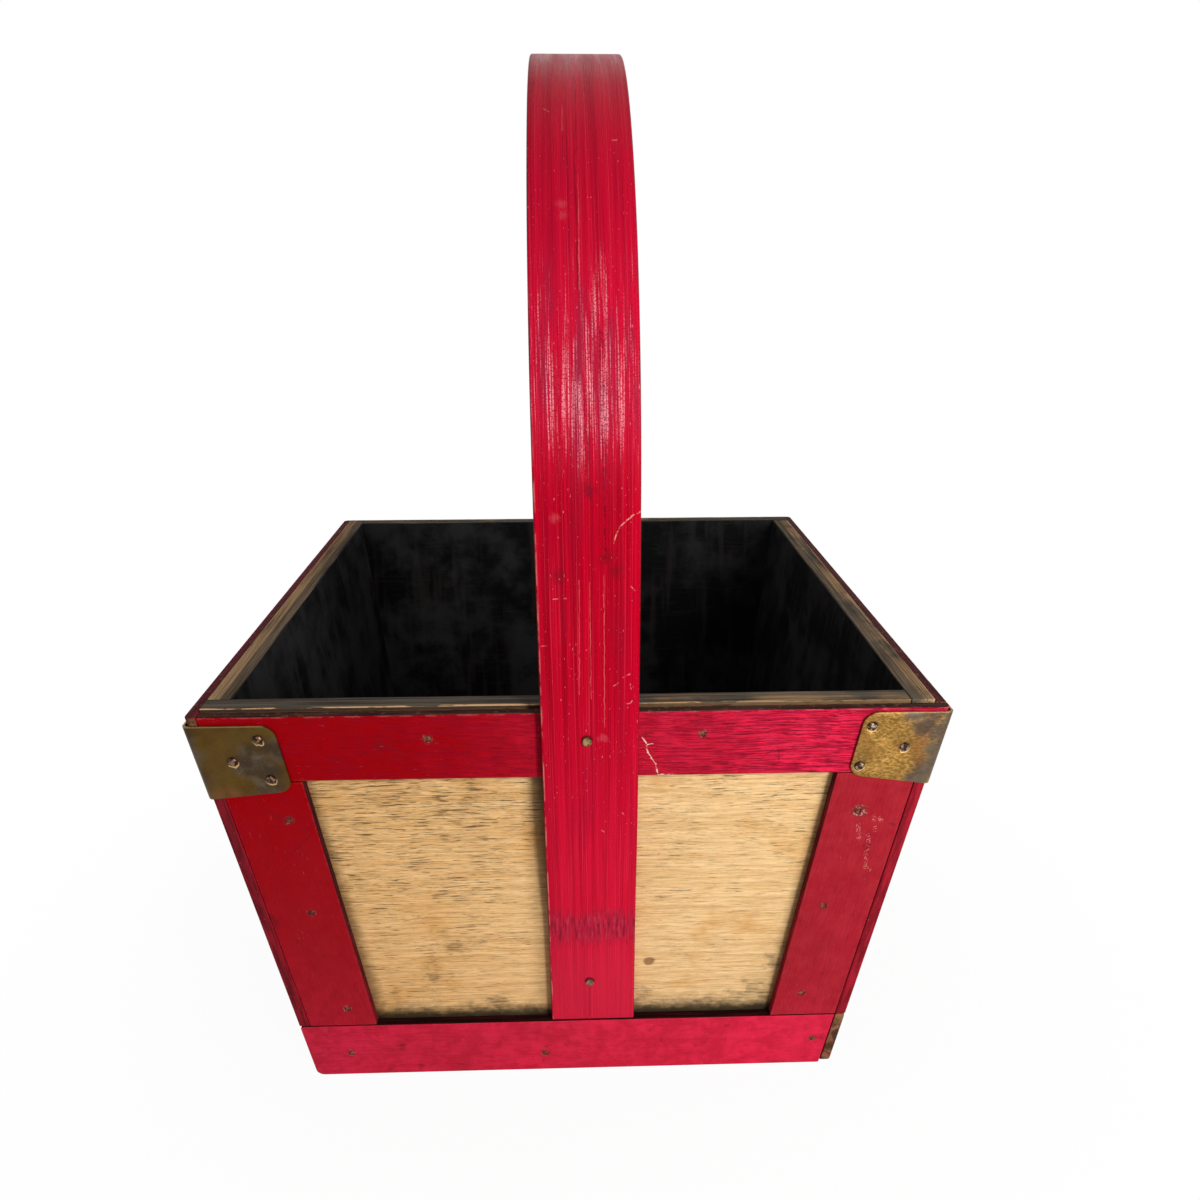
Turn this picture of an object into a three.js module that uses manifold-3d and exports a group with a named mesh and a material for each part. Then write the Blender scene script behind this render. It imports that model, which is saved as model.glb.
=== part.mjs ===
// A small square basket, built like a fruit crate. Four tapered plywood panels stand round a plywood
// base. Thin painted battens frame each side: a rail at the top, a rail at the ground and a stile
// beside each corner. A brass plate is folded round each top corner. A painted bamboo strip runs up
// the front, over in a hoop and down the back as the handle. Everything is nailed, so nothing moves.
// Millimetres, +Z up, front towards -Y. The origin is on the ground, under the middle of the basket.

import * as THREE from "three";
import { mergeVertices } from "three/addons/utils/BufferGeometryUtils.js";
import Module from "manifold-3d";

const wasm = await Module();
wasm.setup();

// The box, measured outside its battens
const topWidth = 239;
const bottomWidth = 196;
const boxHeight = 162;
const panelThickness = 7.6;
const baseThickness = 7.6;

// Battens
const battenThickness = 3.6;
const topRailWidth = 24.6;
const bottomRailWidth = 26.2;
const stileWidth = 25.3;
const rimStep = 1; // the panels stand this far above the top rails

// Brass corner plates
const plateThickness = 0.8;
const plateLeg = 28;
const plateHeight = 27.8;
const plateCornerRadius = 4.8;
const plateFootRise = 3.3; // the lower edge climbs this much from the fold to the end of a leg
const plateDrops = [2.7, 1.1, 1.8, 2.6]; // from the rails' top edge, at the left end of each side

// Nails in a plate leg: down from its top edge, and from the fold at either end of a side
const plateNails = [
  { down: 5.2, fromLeft: 22.1, fromRight: 24.9 },
  { down: 13.3, fromLeft: 12, fromRight: 11.2 },
  { down: 20.1, fromLeft: 22, fromRight: 25.2 },
];
const nailHeadRadius = 1.6;
const nailHeadHeight = 0.9;
const nailShankRadius = 0.6;
const plateNailLength = 7.5;

// The handle
const stripWidth = 30.5;
const stripThickness = 3;
const stripOffset = 6.8; // its feet stand this far to the right of the middle, seen from the front
const hoopLegRise = 71.4; // from the rim to where the round part of the hoop starts
const hoopSway = -3; // the top of the hoop stands this far to the right of its feet
const stripEdgeRound = 0.6;
const upperPinDrop = 10; // below the rim
const lowerPinHeight = 45;
const pinSideways = -1; // from the strip's centre line
const upperPinLength = 13;
const lowerPinLength = 9;
const stripFlatAbovePin = 12; // the strip lies flat on the panel up to here
const stripFlatBelowRail = 3; // and flat on the rail's level from here up

const clearance = 0.3; // between pieces that touch

// Colours from the photograph
const bareWood = new THREE.MeshStandardMaterial({ color: 0xcfa56d, roughness: 0.75, metalness: 0 });
const redBatten = new THREE.MeshStandardMaterial({ color: 0xa5142b, roughness: 0.5, metalness: 0 });
const redBamboo = new THREE.MeshStandardMaterial({ color: 0xb8112f, roughness: 0.4, metalness: 0 });
const agedBrass = new THREE.MeshStandardMaterial({ color: 0x8a6a35, roughness: 0.45, metalness: 1 });
const nailBrass = new THREE.MeshStandardMaterial({ color: 0x7d6a48, roughness: 0.4, metalness: 1 });

// The sides lean outwards as they rise. A surface is named by its inset: how far it lies behind the
// battens' outer faces, square to the side.
const flare = (topWidth - bottomWidth) / 2;
const lean = Math.atan2(flare, boxHeight);
const panelFace = battenThickness + clearance;
const panelBack = panelFace + panelThickness;
const halfWidth = (z, inset) =>
  bottomWidth / 2 + (flare * z) / boxHeight - inset / Math.cos(lean);

const railTop = boxHeight - rimStep;
const topRailFoot = railTop - topRailWidth * Math.cos(lean);
const bottomRailTop = bottomRailWidth * Math.cos(lean);

// Solids for cutting

function solidOf(geometry) {
  const bare = new THREE.BufferGeometry();
  const plain = geometry.index ? geometry.toNonIndexed() : geometry;
  bare.setAttribute("position", plain.getAttribute("position"));
  const merged = mergeVertices(bare, 1e-4);
  return new wasm.Manifold(
    new wasm.Mesh({
      numProp: 3,
      vertProperties: new Float32Array(merged.attributes.position.array),
      triVerts: new Uint32Array(merged.index.array),
    }),
  );
}

function geometryOf(solid) {
  const { vertProperties, triVerts } = solid.getMesh();
  const geometry = new THREE.BufferGeometry();
  geometry.setAttribute("position", new THREE.BufferAttribute(vertProperties, 3));
  geometry.setIndex(new THREE.BufferAttribute(triVerts, 1));
  const faceted = geometry.toNonIndexed();
  faceted.computeVertexNormals();
  return faceted;
}

// Nails. Each lies along its own Z axis, with the underside of its head at the origin.

const nails = [];

function nailGeometry(length) {
  const profile = [
    new THREE.Vector2(0, -length),
    new THREE.Vector2(nailShankRadius, -length + 2 * nailShankRadius),
    new THREE.Vector2(nailShankRadius, 0),
    new THREE.Vector2(nailHeadRadius, 0),
    new THREE.Vector2(0.8 * nailHeadRadius, 0.6 * nailHeadHeight),
    new THREE.Vector2(0, nailHeadHeight),
  ];
  return new THREE.LatheGeometry(profile, 8).rotateX(Math.PI / 2);
}

// A nail driven square into the front side, with its head on the surface at that inset.
function addNail(side, name, x, z, inset, length) {
  const nail = new THREE.Mesh(nailGeometry(length), nailBrass);
  nail.name = name;
  nail.position.set(x, -halfWidth(z, inset - clearance), z);
  nail.rotation.x = Math.PI / 2 + lean;
  nail.userData.length = length;
  side.add(nail);
  nails.push(nail);
}

// The hole that a nail leaves in what it passes through, in the frame of the piece's group.
function boreOf(nail, group) {
  const depth = nail.userData.length + clearance;
  const bore = new THREE.CylinderGeometry(
    nailShankRadius + clearance,
    nailShankRadius + clearance,
    depth,
    8,
  );
  bore.rotateX(Math.PI / 2).translate(0, 0, clearance / 2 - depth / 2);
  const intoGroup = group.matrixWorld.clone().invert().multiply(nail.matrixWorld);
  return solidOf(bore.applyMatrix4(intoGroup));
}

function addDrilled(group, name, geometry, material) {
  let solid = solidOf(geometry);
  for (const nail of nails) solid = solid.subtract(boreOf(nail, group));
  const piece = new THREE.Mesh(geometryOf(solid), material);
  piece.name = name;
  group.add(piece);
}

// Boards of the front side. The other three sides are the same boards, turned round Z.

// A board between two heights and two insets. Its ends are given as x at each height.
function board({ foot, head, face, back, leftEnd, rightEnd }) {
  const geometry = new THREE.BoxGeometry(1, 1, 1);
  const corners = geometry.getAttribute("position");
  for (let i = 0; i < corners.count; i++) {
    const z = corners.getY(i) < 0 ? foot : head;
    const x = corners.getX(i) < 0 ? leftEnd(z) : rightEnd(z);
    const y = -halfWidth(z, corners.getZ(i) < 0 ? back : face);
    corners.setXYZ(i, x, y, z);
  }
  return geometry;
}

// Each panel covers the end of its left neighbour and butts against the back of its right one.
function panelBoard() {
  return board({
    foot: 0,
    head: boxHeight,
    face: panelFace,
    back: panelBack,
    leftEnd: (z) => -halfWidth(z, panelFace),
    rightEnd: (z) => halfWidth(z, panelBack + clearance),
  });
}

// The top rails overlap the other way round: each covers the end of its right neighbour.
function topRailBoard() {
  return board({
    foot: topRailFoot,
    head: railTop,
    face: 0,
    back: battenThickness,
    leftEnd: (z) => -halfWidth(z, panelFace),
    rightEnd: (z) => halfWidth(z, 0),
  });
}

function bottomRailBoard() {
  return board({
    foot: 0,
    head: bottomRailTop,
    face: 0,
    back: battenThickness,
    leftEnd: (z) => -halfWidth(z, 0),
    rightEnd: (z) => halfWidth(z, panelFace),
  });
}

// A stile lies along a corner. On the left and right sides it also covers the edge of its
// neighbour, so its outer edge lies in the front or back face.
function stileBoard(hand, coversNeighbour) {
  const edge = coversNeighbour ? 0 : panelFace;
  const acrossSlope = Math.atan2(flare, boxHeight / Math.cos(lean));
  const width = stileWidth / Math.cos(acrossSlope);
  const outerEdge = (z) => hand * halfWidth(z, edge);
  const innerEdge = (z) => hand * (halfWidth(z, edge) - width);
  return board({
    foot: bottomRailTop + clearance,
    head: topRailFoot - clearance,
    face: 0,
    back: battenThickness,
    leftEnd: hand < 0 ? outerEdge : innerEdge,
    rightEnd: hand < 0 ? innerEdge : outerEdge,
  });
}

// A corner plate is one sheet folded round the left corner of a side. Both legs share an outline,
// drawn by distance from the fold and by height.
function cornerPlate(drop) {
  const top = railTop - drop * Math.cos(lean);
  const foot = top - plateHeight * Math.cos(lean);
  const end = plateLeg;
  const r = plateCornerRadius;
  const footAt = (along) => foot + (plateFootRise * along) / end;
  const leg = new THREE.Shape();
  leg.moveTo(0, top);
  leg.lineTo(0, foot);
  leg.lineTo(end - r, footAt(end - r));
  leg.quadraticCurveTo(end, footAt(end), end, footAt(end) + r);
  leg.lineTo(end, top - r);
  leg.quadraticCurveTo(end, top, end - r, top);
  const outline = leg.getPoints(5);
  if (outline.at(-1).equals(outline[0])) outline.pop();

  const onSheet = (point, depth, ontoLeft) => {
    const out = halfWidth(point.y, -clearance - depth);
    const fold = point.x === 0 ? out : halfWidth(point.y, -clearance - plateThickness);
    return ontoLeft
      ? new THREE.Vector3(-out, point.x - fold, point.y)
      : new THREE.Vector3(point.x - fold, -out, point.y);
  };
  const triangles = [];
  for (const ontoLeft of [false, true]) {
    const near = outline.map((point) => onSheet(point, 0, ontoLeft));
    const far = outline.map((point) => onSheet(point, plateThickness, ontoLeft));
    const add = (a, b, c) => triangles.push(...(ontoLeft ? [a, c, b] : [a, b, c]));
    for (let i = 1; i + 1 < outline.length; i++) {
      add(far[0], far[i], far[i + 1]);
      add(near[0], near[i + 1], near[i]);
    }
    // The rim of the leg, all round but for the fold between the first two points
    for (let i = 1; i < outline.length; i++) {
      const j = (i + 1) % outline.length;
      add(far[i], near[i], near[j]);
      add(far[i], near[j], far[j]);
    }
  }
  return new THREE.BufferGeometry().setFromPoints(triangles);
}

// The handle strip, seen from the side: a path that rests on the panel, swings out over the top
// rail, rises from the rim and goes round the hoop. Heading is measured outwards from upright.
function stripPath() {
  const start = bottomRailTop + clearance + stripThickness * Math.sin(lean);
  const swingStart = lowerPinHeight + stripFlatAbovePin;
  const swingEnd = topRailFoot - stripFlatBelowRail;
  const swingLength = (swingEnd - swingStart) / Math.cos(lean);
  const swingOut = battenThickness + clearance;
  const swingTurn = 2 * Math.atan2(swingOut, swingLength);
  const swingRadius = swingLength / (2 * Math.sin(swingTurn));
  const onPanel = battenThickness;

  const path = [{ y: halfWidth(start, onPanel), z: start, heading: lean }];
  const go = (length, turn, steps) => {
    for (let i = 0; i < steps; i++) {
      const last = path.at(-1);
      const step = length / steps;
      const half = turn / steps / 2;
      const chord = half === 0 ? step : (step * Math.sin(half)) / half;
      path.push({
        y: last.y + chord * Math.sin(last.heading + half),
        z: last.z + chord * Math.cos(last.heading + half),
        heading: last.heading + 2 * half,
      });
    }
  };
  go((swingStart - start) / Math.cos(lean), 0, 1);
  go(swingRadius * swingTurn, swingTurn, 4);
  go(swingRadius * swingTurn, -swingTurn, 4);
  go((boxHeight - path.at(-1).z) / Math.cos(lean), 0, 1);
  go((hoopLegRise / Math.sin(lean)) * lean, -lean, 5);
  go((path.at(-1).y * Math.PI) / 2, -Math.PI / 2, 20);
  return path;
}

// How far the strip's centre line stands to the right at a height. It leans by hoopSway in all.
function stripMiddle(z) {
  const path = stripPath();
  const foot = path[0].z;
  const top = path.at(-1).z + stripThickness;
  return stripOffset + (hoopSway * (z - foot)) / (top - foot);
}

function handleStrip() {
  const path = stripPath();
  const offset = (distance) =>
    path.map(({ y, z, heading }) =>
      new THREE.Vector2(
        y + distance * Math.cos(heading),
        z - distance * Math.sin(heading),
      ),
    );
  const mirrored = (points) => points.map((point) => new THREE.Vector2(-point.x, point.y));
  const inner = offset(0);
  const outer = offset(stripThickness);
  const outline = [
    ...outer,
    ...mirrored(outer).reverse().slice(1),
    ...mirrored(inner),
    ...inner.reverse().slice(1),
  ];
  const geometry = new THREE.ExtrudeGeometry(new THREE.Shape(outline), {
    depth: stripWidth - 2 * stripEdgeRound,
    bevelThickness: stripEdgeRound,
    bevelSize: stripEdgeRound,
    bevelOffset: -stripEdgeRound,
    bevelSegments: 2,
  });
  geometry.translate(0, 0, stripEdgeRound - stripWidth / 2);
  const sideways = new THREE.Matrix4().makeBasis(
    new THREE.Vector3(0, 1, 0),
    new THREE.Vector3(0, 0, 1),
    new THREE.Vector3(1, 0, 0),
  );
  geometry.applyMatrix4(sideways);
  const places = geometry.getAttribute("position");
  for (let i = 0; i < places.count; i++) {
    places.setX(i, places.getX(i) + stripMiddle(places.getZ(i)));
  }
  return geometry;
}

// Assembly

const basket = new THREE.Group();
const sideNames = ["front", "right", "back", "left"];
const sides = sideNames.map((_, i) => {
  const side = new THREE.Group();
  side.rotation.z = (i * Math.PI) / 2;
  basket.add(side);
  return side;
});
basket.updateMatrixWorld(true);

// Nails come first, because the boards and plates are drilled for them
sides.forEach((side, i) => {
  const ends = [
    { corner: "left", hand: -1, drop: plateDrops[i] },
    { corner: "right", hand: 1, drop: plateDrops[(i + 1) % sides.length] },
  ];
  for (const { corner, hand, drop } of ends) {
    plateNails.forEach(({ down, fromLeft, fromRight }, n) => {
      const z = railTop - (drop + down) * Math.cos(lean);
      const along = hand < 0 ? fromLeft : fromRight;
      const face = -clearance - plateThickness;
      const x = hand * (halfWidth(z, face) - along);
      addNail(side, `${sideNames[i]}_${corner}_plate_nail_${n + 1}`, x, z, face, plateNailLength);
    });
  }
});
for (const i of [0, 2]) {
  const name = sideNames[i];
  const pinAt = (z) => (i === 0 ? 1 : -1) * (stripMiddle(z) + pinSideways);
  const upper = boxHeight - upperPinDrop;
  const outside = -clearance - stripThickness;
  const recessed = battenThickness - stripThickness;
  addNail(sides[i], `${name}_upper_handle_pin`, pinAt(upper), upper, outside, upperPinLength);
  const lower = lowerPinHeight;
  addNail(sides[i], `${name}_lower_handle_pin`, pinAt(lower), lower, recessed, lowerPinLength);
}
basket.updateMatrixWorld(true);

sides.forEach((side, i) => {
  const name = sideNames[i];
  const coversNeighbour = i % 2 === 1;
  addDrilled(side, `${name}_panel`, panelBoard(), bareWood);
  addDrilled(side, `${name}_top_rail`, topRailBoard(), redBatten);
  addDrilled(side, `${name}_bottom_rail`, bottomRailBoard(), redBatten);
  addDrilled(side, `${name}_left_stile`, stileBoard(-1, coversNeighbour), redBatten);
  addDrilled(side, `${name}_right_stile`, stileBoard(1, coversNeighbour), redBatten);
  const corner = `${name}_${sideNames[(i + 3) % 4]}`;
  addDrilled(side, `${corner}_corner_plate`, cornerPlate(plateDrops[i]), agedBrass);
});

const baseFit = panelBack + clearance;
const baseGeometry = new THREE.CylinderGeometry(
  Math.SQRT2 * halfWidth(baseThickness, baseFit),
  Math.SQRT2 * halfWidth(0, baseFit),
  baseThickness,
  4,
);
baseGeometry.rotateY(Math.PI / 4).rotateX(Math.PI / 2).translate(0, 0, baseThickness / 2);
const base = new THREE.Mesh(baseGeometry, bareWood);
base.name = "base_board";
basket.add(base);

addDrilled(basket, "handle_strip", handleStrip(), redBamboo);

export default basket;
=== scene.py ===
import math
import random

import bmesh
import bpy
from mathutils import Matrix, Vector


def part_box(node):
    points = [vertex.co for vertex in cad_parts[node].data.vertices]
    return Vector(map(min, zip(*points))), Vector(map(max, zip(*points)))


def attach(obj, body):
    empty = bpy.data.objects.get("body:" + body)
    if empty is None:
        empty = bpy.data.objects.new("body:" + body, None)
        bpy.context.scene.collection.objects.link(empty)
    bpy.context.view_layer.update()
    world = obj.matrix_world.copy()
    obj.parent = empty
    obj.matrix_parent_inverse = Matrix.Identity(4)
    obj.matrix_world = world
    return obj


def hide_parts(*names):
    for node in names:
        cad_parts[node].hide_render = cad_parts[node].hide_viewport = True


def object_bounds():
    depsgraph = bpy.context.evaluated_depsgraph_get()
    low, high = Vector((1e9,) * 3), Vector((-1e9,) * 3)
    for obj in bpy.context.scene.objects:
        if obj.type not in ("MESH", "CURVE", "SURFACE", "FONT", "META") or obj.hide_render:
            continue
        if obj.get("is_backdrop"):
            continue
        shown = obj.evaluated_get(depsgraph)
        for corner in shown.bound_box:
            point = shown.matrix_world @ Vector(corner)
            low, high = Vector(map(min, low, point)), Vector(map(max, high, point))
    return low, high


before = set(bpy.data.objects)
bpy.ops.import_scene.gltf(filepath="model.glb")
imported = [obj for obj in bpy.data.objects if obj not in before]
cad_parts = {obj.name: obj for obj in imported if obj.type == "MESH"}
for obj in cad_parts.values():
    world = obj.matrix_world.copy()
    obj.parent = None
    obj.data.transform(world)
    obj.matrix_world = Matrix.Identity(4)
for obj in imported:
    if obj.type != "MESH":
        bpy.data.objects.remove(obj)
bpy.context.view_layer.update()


# Side panels and base: four sheets of thin plywood stand round a plywood base, bare outside and
# stained black inside, with their upper edges left raw. Each covers the end of its left neighbour
# and butts against the back of its right one, and nails go through the joint.

sides = ["front", "right", "back", "left"]
batten = 0.0036
joint = 0.0003
ply = 0.0076
panel_arris = 0.0003
rim_rail_width = 0.0246
stile_reach = 0.0294
panel_gap = joint / 10

low_rail_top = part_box("front_bottom_rail")[1].z
high_rail_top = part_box("front_top_rail")[1].z
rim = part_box("front_panel")[1].z
out_low = -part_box("front_bottom_rail")[0].y
out_high = -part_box("front_top_rail")[0].y
flare = (out_high - out_low) / (high_rail_top - low_rail_top)
lean = math.atan(flare)
panel_face = batten + joint
panel_back = panel_face + ply
top_rail_foot = high_rail_top - rim_rail_width * math.cos(lean)


def outer(z, inset=0.0):
    """Half the width of the box at a height, to a surface that far behind the battens' faces."""
    return out_low + flare * (z - low_rail_top) - inset / math.cos(lean)


def on_face(x, z, inset=0.0):
    """The point of the front wall at that place sideways and up."""
    return Vector((x, -outer(z, inset), z))


def turned(side):
    """The turn that takes the front to that side of the box."""
    return Matrix.Rotation(side * math.pi / 2, 4, "Z")


level = Vector((1, 0, 0))
slope_up = Vector((0, -math.sin(lean), math.cos(lean)))
slope_in = Vector((0, math.cos(lean), math.sin(lean)))


def wall(side, inset):
    """A point and the outward normal of a surface of that side."""
    return turned(side) @ on_face(0, 0, inset), turned(side) @ -slope_in


def take_up(*pieces):
    bpy.ops.object.select_all(action="DESELECT")
    for piece in pieces:
        piece.select_set(True)
    bpy.context.view_layer.objects.active = pieces[0]


def begin(name):
    """Names the primitive that was just added, puts its place in its mesh and opens it."""
    piece = bpy.context.active_object
    take_up(piece)
    piece.name = piece.data.name = name
    bpy.ops.object.transform_apply(location=True, rotation=True, scale=True)
    bpy.ops.object.mode_set(mode="EDIT")
    bpy.ops.mesh.select_all(action="SELECT")
    return piece


def saw(point, normal):
    """Cuts off what lies beyond a plane."""
    bpy.ops.mesh.select_all(action="SELECT")
    bpy.ops.mesh.bisect(plane_co=point, plane_no=normal, use_fill=True, clear_outer=True)


def pick(piece, kind, wanted):
    """Selects the open piece's vertices, edges or faces that pass a test."""
    bpy.ops.mesh.select_mode(type={"verts": "VERT", "edges": "EDGE", "faces": "FACE"}[kind])
    bpy.ops.mesh.select_all(action="DESELECT")
    mesh = bmesh.from_edit_mesh(piece.data)
    for part in getattr(mesh, kind):
        if wanted(part):
            part.select_set(True)
    mesh.select_flush_mode()
    bmesh.update_edit_mesh(piece.data)


sharp = 0.9
knock_reach = 0.001


def sawn_board(name, face, back, foot, head, ends, arris, knocks=()):
    """A board that lies in the front wall, between two insets and two heights, sawn from larger
    stock. Knocks are edges that wear has rounded: the middle of each, and how far."""
    middle = (foot + head) / 2
    bpy.ops.mesh.primitive_cube_add(
        size=1,
        location=(0, -outer(middle, (face + back) / 2), middle),
        rotation=(lean, 0, 0),
        scale=(2.2 * outer(head), back - face, 1.2 * (head - foot) + 0.01),
    )
    board = begin(name)
    for point, normal in ends:
        saw(point, normal)
    saw((0, 0, foot), (0, 0, -1))
    saw((0, 0, head), (0, 0, 1))
    for knock, reach in knocks:
        pick(board, "edges", lambda edge: (centre_of(edge) - knock).length < knock_reach)
        bpy.ops.mesh.bevel(offset=reach, segments=5)
    pick(board, "edges", lambda edge: edge.calc_face_angle(0) > sharp)
    bpy.ops.mesh.bevel(offset=arris, segments=2)
    bpy.ops.object.mode_set(mode="OBJECT")
    return board


def centre_of(edge):
    return (edge.verts[0].co + edge.verts[1].co) / 2


def write_vectors(piece, name, values):
    layer = piece.data.attributes.new(name, "FLOAT_VECTOR", "POINT")
    layer.data.foreach_set("vector", [number for value in values for number in value])


def lay_grain(piece, along, across):
    """Keeps two places for the finish: one along, across and through the grain, and one on the
    side: sideways, in from the battens' faces and up."""
    through = along.cross(across)
    places = [v.co for v in piece.data.vertices]
    write_vectors(piece, "grain", [(p.dot(along), p.dot(across), p.dot(through)) for p in places])
    write_vectors(piece, "place", [(p.x, (p.y + outer(p.z)) * math.cos(lean), p.z) for p in places])


def copy_of(pattern, name):
    copy = pattern.copy()
    copy.data = pattern.data.copy()
    copy.name = copy.data.name = name
    bpy.context.collection.objects.link(copy)
    return copy


def turned_copy(pattern, name, side):
    """A copy of a pattern at the front, turned to its side of the box and cut from other wood."""
    copy = copy_of(pattern, name)
    copy.data.transform(turned(side))
    rng = random.Random(name)
    start = Vector([rng.uniform(0, 3) for _ in range(3)])
    for place in copy.data.attributes["grain"].data:
        place.vector = Vector(place.vector) + start
    return copy


def give_tone(piece, start, end, axis, low, high):
    """Keeps how the finish changes along a board, from one end to the other."""
    values = []
    for place in piece.data.attributes["place"].data:
        share = (place.vector[axis] - low) / (high - low)
        values.append(Vector(start).lerp(Vector(end), share))
    write_vectors(piece, "tone", values)


def give_faces(piece, *tests):
    """Puts each face in the first slot whose test passes; the slots are in the tests' order."""
    for face in piece.data.polygons:
        face.material_index = next(i for i, test in enumerate(tests) if test(face))


def fit(piece, slot, *nodes):
    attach(piece, "root")
    if nodes:
        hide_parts(*nodes)


def shade(code):
    """A colour as seen in a picture, from its hexadecimal code."""
    parts = [int(code[i:i + 2], 16) / 255 for i in (0, 2, 4)]
    return tuple(p / 12.92 if p < 0.04045 else ((p + 0.055) / 1.055) ** 2.4 for p in parts) + (1,)


def new_finish(name):
    finish = bpy.data.materials.new(name)
    finish.use_nodes = True
    return finish, finish.node_tree.nodes["Principled BSDF"]


def lay(finish, kind, *inputs, out=0, **settings):
    """Adds a step to a finish. Plain arguments fill its sockets in order, capitalised ones by name,
    and the rest are its settings."""
    tree = finish.node_tree
    node = tree.nodes.new("ShaderNode" + kind)
    for name in [name for name in settings if name[0].islower()]:
        setattr(node, name, settings.pop(name))
    named = [(node.inputs[name.replace("_", " ")], value) for name, value in settings.items()]
    for socket, value in [*zip(node.inputs, inputs), *named]:
        if isinstance(value, bpy.types.NodeSocket):
            tree.links.new(value, socket)
        else:
            socket.default_value = value
    return node.outputs[out]


def coat(finish, mask, under, upper):
    """Lays one colour over another where the mask says so."""
    node = finish.node_tree.nodes.new("ShaderNodeMix")
    node.data_type = "RGBA"
    for index, value in ((0, mask), (6, under), (7, upper)):
        if isinstance(value, bpy.types.NodeSocket):
            finish.node_tree.links.new(value, node.inputs[index])
        else:
            node.inputs[index].default_value = value
    return node.outputs[2]


def between(finish, value, low, high, first=0.0, last=1.0):
    """A mask that goes smoothly from first to last while a value goes from low to high."""
    return lay(finish, "MapRange", value, low, high, first, last, interpolation_type="SMOOTHSTEP")


def tint(finish, under, code, value, low, high, first=0.0, last=1.0):
    """Lays a colour over a coat, from first to last while a value goes from low to high."""
    return coat(finish, between(finish, value, low, high, first, last), under, shade(code))


def sums(finish, operation, first, second=0.0, third=0.0):
    return lay(finish, "Math", first, second, third, operation=operation)


def times(finish, first, second):
    """Two masks where both hold, or a share of one."""
    return sums(finish, "MULTIPLY", first, second)


def blots(finish, source, size, detail=3.0, roughness=0.5):
    """Noise with features of about that size."""
    return lay(finish, "TexNoise", Vector=source, Scale=1 / size, Detail=detail,
               Roughness=roughness)


def streaks(finish, source, length, width, detail=3.0, roughness=0.55):
    """Noise drawn out along the grain."""
    drawn = lay(finish, "Mapping", source, Scale=(1 / length, 1 / width, 1 / width))
    return lay(finish, "TexNoise", Vector=drawn, Scale=1.0, Detail=detail, Roughness=roughness)


def kept(finish, name):
    """The places or tones of that name that a piece keeps."""
    return lay(finish, "Attribute", attribute_name=name, out="Vector")


def where(finish):
    """The place on the basket as it stands."""
    return lay(finish, "TexCoord", out="Object")


def part_of(finish, name, axis):
    return lay(finish, "SeparateXYZ", kept(finish, name), out=axis)


def wandering(finish, source, size):
    """A small vector that wanders to all sides of nought."""
    noise = lay(finish, "TexNoise", Vector=source, Scale=1 / size, Detail=1.0, out="Color")
    return lay(finish, "VectorMath", noise, (0.5, 0.5, 0.5), operation="SUBTRACT")


def grain_of(finish, wander=0.0):
    """The place in the grain, with the fibres wandering a little to the side."""
    grain = kept(finish, "grain")
    if not wander:
        return grain
    sway = wandering(finish, grain, 0.03)
    sway = lay(finish, "VectorMath", sway, (0, wander, wander), operation="MULTIPLY")
    return lay(finish, "VectorMath", grain, sway, operation="ADD")


def near_spots(finish, source, spots, unevenness):
    """How far each place is from the nearest of some spots, made uneven by a value."""
    nearest = None
    for spot in spots:
        away = lay(finish, "VectorMath", source, tuple(spot), operation="DISTANCE", out="Value")
        nearest = away if nearest is None else sums(finish, "MINIMUM", nearest, away)
    return sums(finish, "ADD", nearest, unevenness)


def dress(finish, shader, colour, roughness, gloss, height, depth):
    """Joins the coats, the polish and the relief of a finish. Gloss is how much light it throws
    back, from 0 to 1."""
    links = finish.node_tree.links
    links.new(colour, shader.inputs["Base Color"])
    links.new(roughness, shader.inputs["Roughness"])
    shader.inputs["Specular IOR Level"].default_value = gloss
    links.new(lay(finish, "Bump", Distance=depth, Height=height), shader.inputs["Normal"])


def ragged(finish, source, size, reach):
    """A small value that wanders to both sides of nought, for edges that nobody ruled."""
    return sums(finish, "MULTIPLY_ADD", blots(finish, source, size, 4.0, 0.6), 2 * reach, -reach)


# Where black stain crept through the front sheet, and an old plugged hole, sideways and up
crept_stains = [(-0.0288, 0.0325), (-0.0225, 0.0285), (-0.0354, 0.0277), (-0.0432, 0.061),
                (-0.0505, 0.047), (0.0601, 0.0315), (0.0665, 0.0375), (0.0712, 0.0356),
                (0.0472, 0.0276), (0.0245, 0.033), (0.0745, 0.05)]
plug_at = (0.0273, 0.0517)


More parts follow.
